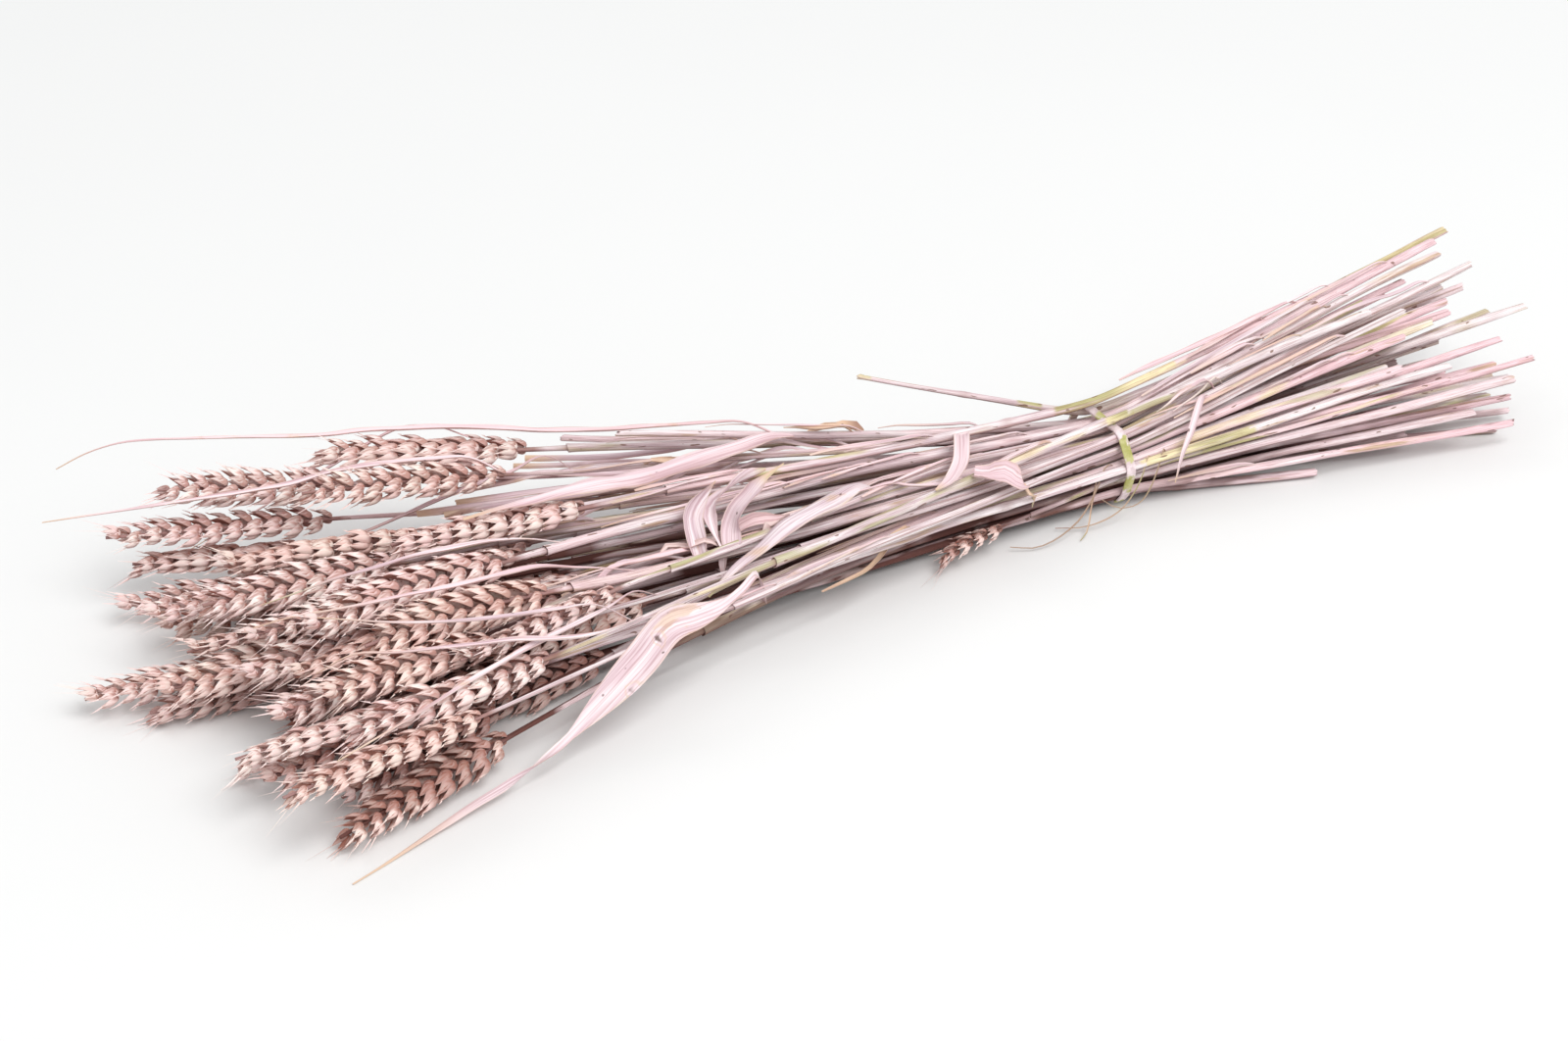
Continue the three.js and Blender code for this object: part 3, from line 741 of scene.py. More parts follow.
def newBody():
    # An empty mesh whose vertices hold their place in the grain and their shade
    bm = bmesh.new()
    return bm, bm.verts.layers.float_vector.new("grain"), bm.verts.layers.float_color.new("shade")


def addBody(piece, body, slot):
    # Adds a body to a stalk's piece, which is its mesh and a row of marks for each vertex
    bm, grain, shade = body
    piece["marks"].append(np.array([(*vert[grain], *vert[shade]) for vert in bm.verts], dtype=np.float32))
    for face in bm.faces:
        face.material_index = slot
    bm.verts.layers.float_vector.remove(bm.verts.layers.float_vector["grain"])
    bm.verts.layers.float_color.remove(bm.verts.layers.float_color["shade"])
    mesh = meshOf("body", bm)
    piece["bm"].from_mesh(mesh)
    bpy.data.meshes.remove(mesh)


# Straws

strawLook = {
    "sides": 14,
    "ridge": 0.055,  # of the radius
    "ridges": (3, 4, 5),
    "wrap": math.tau * 0.965,  # the angle from the sheath's outer edge round to its inner one
    "overlap": 0.13,  # of the radius
    "girth": 14 * mm,
    "twist": 1.6,  # radians from one end to the other, at most
    "waver": 0.3 * mm,
    "waverLengths": (17 * mm, 21 * mm),
    "unevenness": 0.09,  # of the radius
    "unevenLengths": (9 * mm, 23 * mm),
    "slimness": 0.93,  # of the plain stalk's radius
    "brokenTaper": 0.3,  # how much thinner a straw without an ear is at its broken end
    "thinning": {"stalk_45": 0.5},  # the one that is bent away
    "step": 6 * mm,
    "rimGrowth": 1.1,  # a sheath's mouth is this much wider than the sheath
    "rimSlant": 0.5,  # radians, at most
    "rimDepth": 2.5 * mm,
    "nodePlace": (-70, 90),  # mm from the band
    "nodeSwell": 0.16,
    "nodeLength": 3 * mm,
    "cutSlant": 0.55,  # radians, at most
    "hollow": 0.58,  # of the straw's radius, at its cut end
    "hollowDepth": 7 * mm,
    "ovalness": 0.14,
    "crush": 0.4,  # how much flatter the cutter left the end, at most
    "crushedLength": 9 * mm,
    "ragged": 0.9 * mm,
}

# Where the paint missed a straw and it is still olive, along the bundle from the band, in mm
oliveStretches = {
    "stalk_51": [(-22, 48)],
    "stalk_24": [(5, 62)],
    "stalk_45": [(-130, -96), (-34, -20)],
    "stalk_40": [(-5, 9)],
}


def strawStations(stalk, rng):
    # From inside the cut end, out over its rim, along the sheath, into its mouth and on to the ear or the
    # broken end. Each gives its place, radius, slant, the turn of the slant and its painted shade.
    look = strawLook
    scale = stalk.thickness * look["slimness"]
    thick = stalkRead["sheathRadius"] * scale
    bare = stalkRead["bareRadius"] * scale
    neck = stalkRead["neckRadius"] * scale
    endX = stalk.endX
    slant = rng.uniform(-look["cutSlant"], look["cutSlant"])
    turn = rng.uniform(0, math.tau)
    hollow = thick * look["hollow"]
    stations = [
        (stalk.cutX - look["hollowDepth"], hollow * 0.8, 0, turn, 0.0),
        (stalk.cutX - 0.3 * mm, hollow, slant, turn, 0.0),
        (stalk.cutX, thick * 0.97, slant, turn, 0.0),
        (stalk.cutX - 1 * mm, thick, slant * 0.8, turn, 0.0),
    ]
    nodeX = bandPlace.x + rng.uniform(*look["nodePlace"]) * mm
    x = stalk.cutX - look["step"]
    while x > max(stalk.sheathX, endX) + 2 * mm:
        near = math.exp(-((x - nodeX) / look["nodeLength"]) ** 2)
        stations.append((x, thick * (1 + look["nodeSwell"] * near), 0, 0, 0.4 * near))
        x -= look["step"] if abs(x - nodeX) > 4 * look["nodeLength"] else look["step"] / 3
    if stalk.sheathX > endX + 6 * mm:
        slant = rng.uniform(0.2, 1) * look["rimSlant"]
        turn = rng.uniform(0, math.tau)
        mouth = stalk.sheathX
        stations += [
            (mouth, thick * look["rimGrowth"], slant, turn, 0.0),
            (mouth + 0.3 * mm, thick * 0.9, slant, turn, 1.0),
            (mouth + look["rimDepth"], bare * 1.08, 0, 0, 1.0),
        ]
        x = mouth - look["step"] / 2
        while x > endX + 2 * mm:
            share = (mouth - x) / (mouth - endX)
            stations.append((x, bare + (neck - bare) * share, 0, 0, 0.0))
            x -= look["step"]
    if stalk.earSide:
        for share in (0, 0.25, 0.5, 0.75, 0.95):
            stations.append((endX + (stalk.tipX - endX) * share, neck * (1 - 0.3 * share), 0, 0, 1.0))
    else:
        stations += [
            (endX + 0.5 * mm, thick, 0.4, turn, 0.0),
            (endX, thick * 0.8, 0.6, turn, 0.6),
            (endX + 3 * mm, thick * 0.4, 0, 0, 1.0),
        ]
    return stations


def growStraw(piece, stalk, rng):
    look = strawLook
    stations = strawStations(stalk, rng)
    flatness = 1 - rng.uniform(0, look["ovalness"])
    twist = rng.uniform(-1, 1) * look["twist"]
    start = rng.uniform(0, math.tau)
    length = stalk.cutX - stalk.tipX
    matrices = []
    phases = [rng.uniform(0, math.tau) for _ in range(5)]
    crush = rng.uniform(0, look["crush"])
    thinning = look["thinning"].get(stalk.name, look["brokenTaper"])
    for x, radius, slant, turn, _ in stations:
        waves = [
            math.sin(x / size + phase)
            for size, phase in zip(look["unevenLengths"] + look["waverLengths"], phases)
        ]
        radius *= 1 + look["unevenness"] * (waves[0] + waves[1]) / 2
        share = (stalk.cutX - x) / length
        if not stalk.earSide:
            radius *= 1 - thinning * smooth(0.35, 1, share)
        place = Matrix.Translation(Vector((0, *waves[2:])) * look["waver"])
        spin = Matrix.Rotation(start + twist * share, 4, "Z")
        crushed = flatness * (1 - crush * math.exp(-((stalk.cutX - x) / look["crushedLength"]) ** 2))
        matrices.append(place @ ringMatrix(stalk, x, radius, crushed, slant, turn) @ spin)
    bm, grain, shade = newBody()
    rings = sweepRings(bm, matrices, look["sides"], grain, rng.choice(look["ridges"]), phases[4])
    jags = [rng.uniform(-1, 1) for _ in range(look["sides"])]
    for ring in rings[1:4] if stalk.earSide else rings[1:4] + rings[-3:-1]:
        for vert in ring:
            vert.co.x += look["ragged"] * jags[round(vert[grain].y / look["girth"] * (look["sides"] - 1))]
    stretches = oliveStretches.get(stalk.name, [])
    for (x, *_, mark), ring in zip(stations, rings):
        olive = any(low < (x - bandPlace.x) / mm < high for low, high in stretches)
        for vert in ring:
            vert[grain] = (stalk.cutX - x, vert[grain].y, stalk.seed)
            vert[shade] = ((stalk.cutX - x) / length, mark, stalk.tint, 2 if olive else stalk.greenness)
    addBody(piece, (bm, grain, shade), strawSlot)


# Ears

earLook = {
    "spikelets": 20,
    "fewestSpikelets": 8,
    "earLength": 93 * mm,  # of an ear with that many spikelets
    "first": 0.03,  # where the first spikelet sits, as a share of the ear's length
    "reach": 0.86,  # from there to the last
    "swell": (-0.25, 0.2),  # shares of the ear's length over which the spikelets grow
    "taper": (0.5, 1.0),  # and shrink again, by this much
    "taperDepth": 0.36,
    "sizes": (0.92, 1.1),
    "stretches": (0.9, 1.08),
    "tilt": (-0.06, 0.08),  # radians
    "shortEar": 60 * mm,
    "shortFullness": 0.66,
    "kinds": 9,  # different spikelets
    "roll": 0.28,  # radians, at most
    "beaked": 9,  # a bract longer than this, in mm, has an awn
    "awnRadius": 0.36 * mm,
    "shortAwn": 2.2 * mm,
    "longAwn": 8 * mm,
    "awnSizes": (0.35, 1.2),
    "hairFrom": 0.72,  # how far along the ear long hairs begin
    "hairShare": 0.35,  # of the awns there, which are long hairs
    "hairRadius": 0.12 * mm,
    "hair": 14 * mm,
    "hairSizes": (0.5, 1),
    "stray": 0.12,
}

bractLook = {
    "sides": 8,
    "rings": 8,
    "leanSizes": ((0.75, 1.25), (0.6, 1.4)),
    "lengthSizes": (0.93, 1.07),
    "fullAt": 0.64,  # the lower this is, the nearer to its root a bract is widest
    "blunt": 0.72,  # the lower this is, the blunter are its ends
    "narrowing": 0.42,
    "keel": 0.16,
    "backFullness": 0.35,  # of the face's
    "bend": (0.09, 0.05),  # of the length: out in the middle, and in at the tip
    # Painted shade on the bract's inner side
    "hollow": 0.75,  # the mark on its inner side
}

# A spikelet's bracts for the side that its ear's wide way points to. Each has its root and length in mm, its
# lean to the side and to the front in radians, its width and fullness in mm, the way it faces in radians,
# and how deep it sits from 0 to 1, which darkens it with painted shade.
bracts = [
    {
        "root": (0.7, 1.1, 0.0), "length": 8.8, "lean": (0.34, 0.34), "size": (5.4, 4.2), "face": 0.35,
        "deep": 0.0,
    },
    {
        "root": (2.3, 1.0, 1.6), "length": 10.6, "lean": (0.60, 0.22), "size": (4.9, 3.9), "face": 0.8,
        "deep": 0.1,
    },
    {
        "root": (3.1, 0.0, 1.0), "length": 10.2, "lean": (0.68, 0.0), "size": (5.2, 4.2), "face": 1.57,
        "deep": 0.2,
    },
]


def bractMesh(bm, spec, mirror, rng):
    # A boat-shaped scale: round and full on its outer face, hollow inside, drawn out to a beak
    look = bractLook
    made = bmesh.ops.create_uvsphere(bm, u_segments=look["sides"], v_segments=look["rings"], radius=1)
    lean = [value * rng.uniform(*sizes) for value, sizes in zip(spec["lean"], look["leanSizes"])]
    width, full = spec["size"]
    length = spec["length"] * rng.uniform(*look["lengthSizes"])
    along = Vector((math.sin(lean[0]), math.sin(lean[1]), 1)).normalized()
    outwards = Vector((math.sin(spec["face"]), math.cos(spec["face"]), 0))
    outwards = (outwards - along * outwards.dot(along)).normalized()
    across = along.cross(outwards)
    root = Vector(spec["root"])
    values = []
    for vert in made["verts"]:
        t = (vert.co.z + 1) / 2
        angle = math.atan2(vert.co.y, vert.co.x)
        out = math.sin(angle)
        swell = 0
        if 0 < t < 1:
            swell = math.sin(math.pi * t ** look["fullAt"]) ** look["blunt"] * (1 - look["narrowing"] * t)
        keel = 1 + look["keel"] * max(0, out) ** 6
        bulge = out * (full if out > 0 else look["backFullness"] * full) * 0.5 * keel
        bend = look["bend"][0] * length * math.sin(math.pi * t) - look["bend"][1] * length * t * t
        place = root + along * (t * length) + outwards * (bulge * swell + bend)
        place += across * (math.cos(angle) * swell * width * 0.5)
        place *= mm
        if mirror:
            place.y = -place.y
        vert.co = place
        # Painted shade on the inner face and on bracts that sit deep
        inside = spec["deep"] + (look["hollow"] if out < -0.2 else 0)
        values.append((t * length * mm, angle * width * mm / 2, 0, t, min(1, inside), 0, 0))
    tip = (root + along * length * 0.97) * mm
    way = along.copy()
    if mirror:
        tip.y, way.y = -tip.y, -way.y
    return values, (tip, way)


def makeSpikelets(rng):
    kinds = []
    for _ in range(earLook["kinds"]):
        bm = bmesh.new()
        values, beaks = [], []
        for spec in bracts:
            for mirror in (False, True) if spec["lean"][1] else (False,):
                some, beak = bractMesh(bm, spec, mirror, rng)
                values += some
                if spec["length"] > earLook["beaked"]:
                    beaks.append(beak)
        bmesh.ops.recalc_face_normals(bm, faces=bm.faces)
        kinds.append((meshOf("spikelet", bm), np.array(values, dtype=np.float32), beaks))
    return kinds


def makeAwn():
    bm = bmesh.new()
    bmesh.ops.create_cone(bm, cap_ends=True, segments=3, radius1=1, radius2=0.15, depth=1)
    bmesh.ops.translate(bm, vec=(0, 0, 0.5), verts=bm.verts)
    return meshOf("awn", bm)


spikeletKinds = makeSpikelets(random.Random(3))
awnMesh = makeAwn()


def addCopy(bm, source, matrix, material):
    copy = source.copy()
    copy.transform(matrix)
    if matrix.determinant() < 0:
        copy.flip_normals()
    for polygon in copy.polygons:
        polygon.material_index = material
    bm.from_mesh(copy)
    count = len(copy.vertices)
    bpy.data.meshes.remove(copy)
    return count


def earFrame(stalk, x):
    along = alongAt(stalk, x)
    side = stalk.earSide - along * stalk.earSide.dot(along)
    return basisOf(side.normalized(), along)


def growEar(piece, stalk, rng):
    look = earLook
    bm, marks = piece["bm"], piece["marks"]
    base = stalk.endX
    length = base - stalk.tipX
    count = max(look["fewestSpikelets"], round(look["spikelets"] * length / look["earLength"]))
    fullness = stalk.thickness if length > look["shortEar"] else look["shortFullness"]
    tone = rng.random()
    for k in range(count + 1):
        u = look["first"] + look["reach"] * k / count
        grown = smooth(*look["swell"], u) * (1 - look["taperDepth"] * smooth(*look["taper"], u)) * fullness
        x = base - u * length
        frameHere = earFrame(stalk, x)
        way = 1 if k % 2 else -1
        roll = rng.uniform(-1, 1) * look["roll"] + (math.pi / 2 if k == count else 0)
        tilt = rng.uniform(*look["tilt"]) * way
        mesh, values, beaks = spikeletKinds[rng.randrange(look["kinds"])]
        grown *= rng.uniform(*look["sizes"])
        stretch = grown * rng.uniform(*look["stretches"])
        matrix = Matrix.Translation(lineAt(stalk, x)) @ frameHere @ Matrix.Rotation(roll, 4, "Z")
        matrix = matrix @ Matrix.Rotation(tilt, 4, "Y")
        matrix = matrix @ Matrix.Diagonal((way * grown, grown, stretch, 1))
        addCopy(bm, mesh, matrix, earSlot)
        tint = rng.random()
        values = values.copy()
        values[:, 2] = rng.random()
        values[:, 5] = tint
        values[:, 6] = tone
        marks.append(values)
        for place, direction in beaks:
            awn = look["shortAwn"] + (look["longAwn"] - look["shortAwn"]) * smooth(0.35, 1.0, u)
            awn *= rng.uniform(*look["awnSizes"])
            thin = look["awnRadius"]
            if u > look["hairFrom"] and rng.random() < look["hairShare"]:
                awn = look["hair"] * rng.uniform(*look["hairSizes"])
                thin = look["hairRadius"]
            stray = Vector((*(rng.uniform(-look["stray"], look["stray"]) for _ in range(2)), 0.3))
            heading = (matrix.to_3x3() @ direction).normalized() * 0.8 + frameHere.to_3x3() @ stray
            turn = heading.to_track_quat("Z", "Y").to_matrix().to_4x4()
            size = Matrix.Diagonal((thin, thin, awn, 1))
            added = addCopy(bm, awnMesh, Matrix.Translation(matrix @ place) @ turn @ size, earSlot)
            marks.append(np.tile(np.float32((0, 0, 0, 0.78, 0, tint, tone)), (added, 1)))


# Leaf blades. One grows from the stalk nearest to its host place, or else to its first point, and a draped
# one from the highest of the stalks beside its first point. It passes over whatever lies under it.
# A point gives the place along and across the bundle from the band and the least height there, all in mm.
# Widen, taper, twistAt and dry give the shares of the length over which a blade grows wide, grows narrow,
# turns and dries out. Width, tail and curl are in mm: tail is the least half width, and curl is how far the
# blade winds off its line. Lean and twist are in radians. A cup above 0 bends the edges up, and one below 0
# bends them down.

leaves = [
    {  # the long one in front, which lies on the table
        "width": 14, "cup": 0.8, "lean": 0.75, "widen": (0.12, 0.33), "taper": (0.42, 0.64), "tail": 1.6,
        "twist": 2.9, "twistAt": (0.58, 0.72), "dry": (0.72, 0.96), "spots": ((0.35, 0.1), (0.45, 0.8)),
        "host": (-185, -40, 16),
        "points": [
            (-185, -40, 16), (-194, -49, 30), (-205, -56, 36), (-218, -63, 35), (-236, -68, 29),
            (-255, -74, 22), (-278, -82, 16), (-306, -93, 9), (-337, -101, 5), (-362, -109, 2),
            (-393, -121, 0),
        ],
    },
    {  # two long thin ones that reach past the ears at the back
        "width": 3, "cup": 1.3, "dry": (0.9, 1.0),
        "points": [
            (-145, 34, 46), (-203, 49, 56), (-294, 80, 60), (-378, 114, 62), (-412, 128, 60),
            (-434, 135, 50),
        ],
    },
    {
        "width": 3, "cup": 1.2,
        "points": [(-265, 48, 55), (-295, 55, 60), (-351, 67, 58), (-395, 84, 52), (-448, 106, 44)],
    },
    {  # a strap across the waist, and a curled one beside it
        "width": 7, "cup": 0.5, "widen": (-0.4, 0.2), "taper": (0.7, 1.1), "host": (-60, 9, 42),
        "points": [(-66, 13, 42), (-73, -3, 45), (-81, -17, 44), (-89, -23, 40), (-97, -25, 34)],
    },
    {
        "width": 11, "cup": 0.9, "lean": 0.5, "widen": (-0.05, 0.5), "taper": (0.95, 1.15),
        "dry": (0.0, 0.2), "host": (-45, -27, 31),
        "points": [(-53, -30, 27), (-58, -31, 32), (-65, -30, 37), (-71, -28, 40), (-78, -24, 41)],
    },
    {  # three that stand up, curled
        "width": 9, "cup": 0.9, "twist": 1.6, "widen": (-0.5, 0.4), "taper": (0.55, 1.05),
        "host": (-207, -26, 38),
        "points": [(-207, -26, 38), (-206, -14, 46), (-204, -11, 50), (-199, -9, 55), (-192, -8, 60)],
    },
    {
        "width": 7.5, "cup": 0.8, "twist": -1.6, "widen": (0.0, 0.45), "taper": (0.7, 1.1),
        "host": (-191, -24, 37),
        "points": [
            (-198, -24, 37), (-197, -13, 49), (-190, -11, 55), (-182, -10, 58), (-175, -8, 59),
            (-168, -6, 58),
        ],
    },
    {
        "width": 8.5, "cup": 0.7, "twist": 1.2, "twistAt": (0.5, 1), "widen": (-0.9, 0.1),
        "taper": (0.6, 0.85), "tail": 1.3, "dry": (0.66, 0.8), "host": (-176, -22, 36),
        "points": [
            (-193, -22, 34), (-190, -19, 42), (-186, -18, 51), (-179, -17, 56), (-173, -16, 61),
            (-164, -15, 65),
        ],
    },
    {  # a wide flat sheath
        "width": 9, "cup": -1.0,
        "points": [(-113, -6, 36), (-145, -18, 36), (-180, -32, 34), (-212, -44, 30)],
    },
    {  # a broad one among the stems at the back
        "width": 8.5, "cup": -0.8, "lean": 0.3, "taper": (0.55, 1.15), "host": (-185, 40, 50),
        "points": [
            (-135, 30, 48), (-161, 27, 51), (-193, 21, 54), (-224, 12, 55), (-256, 5, 56), (-300, 0, 57),
        ],
    },
    {  # a small whitish one on the cut side
        "width": 3.2, "cup": 0.9, "points": [(49, -6, 42), (40, -16, 36), (29, -26, 27), (19, -33, 16)],
    },
]


def addLeaves(shared, keys, *rows):
    # Adds blades that share some values, such as the height of a point given without one. Each row holds
    # a blade's own values for the keys.
    for row in rows:
        leaf = shared | dict(zip(keys, row))
        height = leaf.get("height", 0)
        leaf["points"] = [point if len(point) == 3 else (*point, height) for point in leaf["points"]]
        leaves.append(leaf)


# Thin blades that lie on the ears
addLeaves(
    {"cup": 1.3, "taper": (0.25, 1.2), "tail": 0.3, "dry": (0.6, 1.1), "draped": True, "widen": (0.04, 0.4)},
    ("width", "points"),
    (3.2, [(-232, -42), (-262, -53), (-300, -67), (-345, -84), (-388, -98)]),
    (3.0, [(-236, -26), (-270, -30), (-310, -33), (-355, -31), (-396, -24)]),
    (3.0, [(-244, -63), (-275, -66), (-310, -64), (-350, -56), (-378, -43)]),
    (2.8, [(-262, -14), (-290, -12), (-320, -9), (-352, -3), (-384, 8)]),
    (3.0, [(-228, 50), (-255, 55), (-285, 59), (-326, 62), (-350, 67)]),
    (2.4, [(-272, 88), (-300, 96), (-336, 108), (-384, 125)]),
    (2.6, [(-250, -50), (-285, -55), (-318, -52), (-352, -42), (-372, -30)]),
)
# Long blades rolled up as round as straws, which fill the gaps between the stems at the back
addLeaves(
    {"cup": -1.4, "taper": (0.9, 1.5), "tail": 0.6, "height": 34},
    ("width", "points"),
    (3.6, [(-107, 30), (-162, 50), (-203, 67), (-225, 76), (-242, 84)]),
    (3.2, [(-116, 29), (-169, 47), (-208, 64), (-231, 72), (-249, 80)]),
    (3.8, [(-127, 27), (-176, 44), (-213, 60), (-237, 67), (-262, 77)]),
    (3.4, [(-160, 34), (-199, 42), (-225, 48), (-259, 53), (-290, 56)]),
    (3.6, [(-150, 35), (-188, 44), (-222, 51), (-255, 58), (-282, 63)]),
    (4.0, [(-179, 37), (-209, 44), (-240, 49), (-269, 56), (-300, 62)]),
    (3.4, [(-188, 42), (-211, 50), (-236, 57), (-260, 65), (-285, 74)]),
    (3.6, [(-170, 28), (-204, 33), (-236, 38), (-268, 42), (-298, 46)]),
    (3.4, [(-193, 22), (-214, 26), (-233, 26), (-256, 28)]),
)
# Dry crumpled bits at the back and among the standing blades
addLeaves(
    {"cup": 1.2, "taper": (0.5, 1.2), "dry": (-1, -0.5), "coarseStep": 5 * mm, "curl": 0.9},
    ("width", "dryness", "twist", "points"),
    (6, 1.0, 1.4, [(-100, 40, 34), (-108, 40, 35), (-117, 40, 36), (-127, 39, 35)]),
    (3.5, 0.9, 0.5, [(-109, 29, 42), (-118, 29, 43), (-128, 30, 44), (-141, 33, 45)]),
    (3, 0.9, 1.6, [(-206, 36, 44), (-196, 33, 47), (-186, 31, 46)]),
    (3.5, 0.3, 0.4, [(-222, -12, 34), (-216, -15, 36), (-208, -20, 36), (-199, -24, 33)]),
    (3.5, 0.1, 0.8, [(-196, -20, 26), (-192, -12, 34), (-190, -8, 40)]),
    (6, 0.1, 1.0, [(-190, -18, 32), (-183, -14, 36), (-174, -16, 38), (-163, -15, 38)]),
    (4, 0.3, -1.2, [(-176, -22, 34), (-170, -20, 37), (-162, -18, 37)]),
    (2.6, 0.9, 0.5, [(-57, -31, 30), (-54, -31, 25), (-50, -28, 19)]),
)
# Fine brown fibres that hang out under the waist, and a thin blade in front
addLeaves(
    {"cup": 1.0, "taper": (0.6, 1.3), "tail": 0.25, "dry": (-1, -0.5), "coarseStep": 5 * mm},
    ("width", "mark", "points"),
    (0.7, 1.6, [(-4, -18, 20), (-18, -26, 12), (-34, -32, 5), (-50, -34, 2), (-62, -30, 3)]),
    (0.6, 1.55, [(14, -20, 18), (4, -27, 11), (-10, -31, 6), (-24, -30, 3), (-36, -24, 2)]),
    (0.7, 1.5, [(-12, -19, 20), (-20, -27, 9), (-25, -33, 2), (-30, -36, 1)]),
    (0.6, 1.6, [(22, -18, 16), (12, -27, 8), (2, -32, 5), (-8, -31, 8), (-14, -26, 12)]),
    (2.4, 0.5, [(-108, -26, 18), (-124, -34, 17), (-142, -41, 18), (-162, -48, 20)]),
)
bladeLook = {
    "coarseStep": 15 * mm,  # between the places where a blade is laid on what is under it
    "hosts": 4,  # how many stalks near its root a draped blade may grow from, of which it takes the highest
    "span": 5,  # steps that a draped blade may reach across on its own
    "sunk": 1 * mm,  # how deep its root is in what it lies on
    "spotSize": 2.3 * mm,
    "spotMark": 2.4,
    "slack": 0.6 * mm,
    "easing": 20,  # passes that even out the line's height
    "clearance": 0.85 * mm,
    "margin": 0.8 * mm,
    "step": 3.5 * mm,
    "across": 6,
    "thickness": 0.28 * mm,
    "wave": 0.5 * mm,  # of the edges of a blade with the half width that follows
    "waveWidth": 4 * mm,
    "waveLength": 30 * mm,
    "tipFrom": 0.72,  # the tail thins from here on, by this much
    "tipThinning": 0.85,
    "leanAt": (0.6, 0.9),
}


def bladeHalfWidth(leaf, t):
    shape = smooth(*leaf.get("widen", (-0.12, 0.3)), t) * (1 - smooth(*leaf.get("taper", (0.45, 1.15)), t))
    tail = leaf.get("tail", 0.6) * (1 - bladeLook["tipThinning"] * smooth(bladeLook["tipFrom"], 1, t))
    return max(tail, 0.5 * leaf["width"] * shape) * mm


def bladeLean(leaf, t):
    return leaf.get("lean", 0) * (1 - smooth(*bladeLook["leanAt"], t))


def smoothPath(points, step):
    # A smooth curve through the points, at nearly equal steps
    path = []
    last = len(points) - 1
    ways = [(points[min(i + 1, last)] - points[max(i - 1, 0)]).normalized() for i in range(last + 1)]
    for i in range(last):
        a, b = points[i], points[i + 1]
        third = (b - a).length / 3
        pieces = max(2, round(3 * third / step) + 1)
        handles = a + ways[i] * third, b - ways[i + 1] * third
        path += mathutils.geometry.interpolate_bezier(a, *handles, b, pieces)[:-1]
    return path + [points[last].copy()]


def pathAt(path, t):
    place = min(max(t, 0), 1) * (len(path) - 1)
    i = min(int(place), len(path) - 2)
    return path[i].lerp(path[i + 1], place - i)


def hostOf(leaf):
    x, y, z = leaf.get("host", leaf["points"][0])
    place = bandPlace + Vector((x, y, z)) * mm
    near = [stalk for stalk in stalks if girthAt(stalk, place.x)]
    if leaf.get("draped") and "host" not in leaf:
        near.sort(key=lambda stalk: abs(lineAt(stalk, place.x).y - place.y))
        return max(near[:bladeLook["hosts"]], key=lambda stalk: lineAt(stalk, place.x).z)
    return min(near, key=lambda stalk: (lineAt(stalk, place.x) - place).length)


def pullTaut(spine):
    # Draws a line straight between the places where it rests on what is under it
    heights = [point.z for point in spine]
    last = len(spine) - 1
    for k in range(1, last):
        for i in range(max(0, k - bladeLook["span"]), k):
            for j in range(k + 1, min(last, k + bladeLook["span"]) + 1):
                level = heights[i] + (heights[j] - heights[i]) * (k - i) / (j - i)
                spine[k].z = max(spine[k].z, level)


def bladeSpine(leaf, host):
    # The middle line: it starts inside its stalk and passes clear over what is under it
    look = bladeLook
    draped = leaf.get("draped")
    points = [bandPlace + Vector(point) * mm for point in leaf["points"]]
    root = lineAt(host, points[0].x)
    points[0].y = root.y
    plan = smoothPath(points, 1 * mm)
    steps = max(5, round((len(plan) - 1) * mm / leaf.get("coarseStep", look["coarseStep"])))
    spine = []
    for k in range(steps + 1):
        t = k / steps
        half = bladeHalfWidth(leaf, t)
        clear = leaf.get("clearance", look["clearance"]) + half * math.sin(bladeLean(leaf, t))
        point = pathAt(plan, t)
        level = 1 if draped else point.z + clear
        for shift in range(-4, 5):
            near = pathAt(plan, t + shift / 4 / steps)
            top = topUnder(near.x, near.y, max(level, point.z + clear), half + look["margin"])
            point.z = max(point.z, top + clear)
        spine.append(point if k else root)
    if draped:
        root.z = max(root.z, topUnder(root.x, root.y, 1, 0) - look["sunk"])
        pullTaut(spine)
    for _ in range(look["easing"]):
        for k in range(2, steps):
            level = (spine[k - 1].z + spine[k + 1].z) / 2
            spine[k].z = max(spine[k].z, level - look["slack"])
    return spine


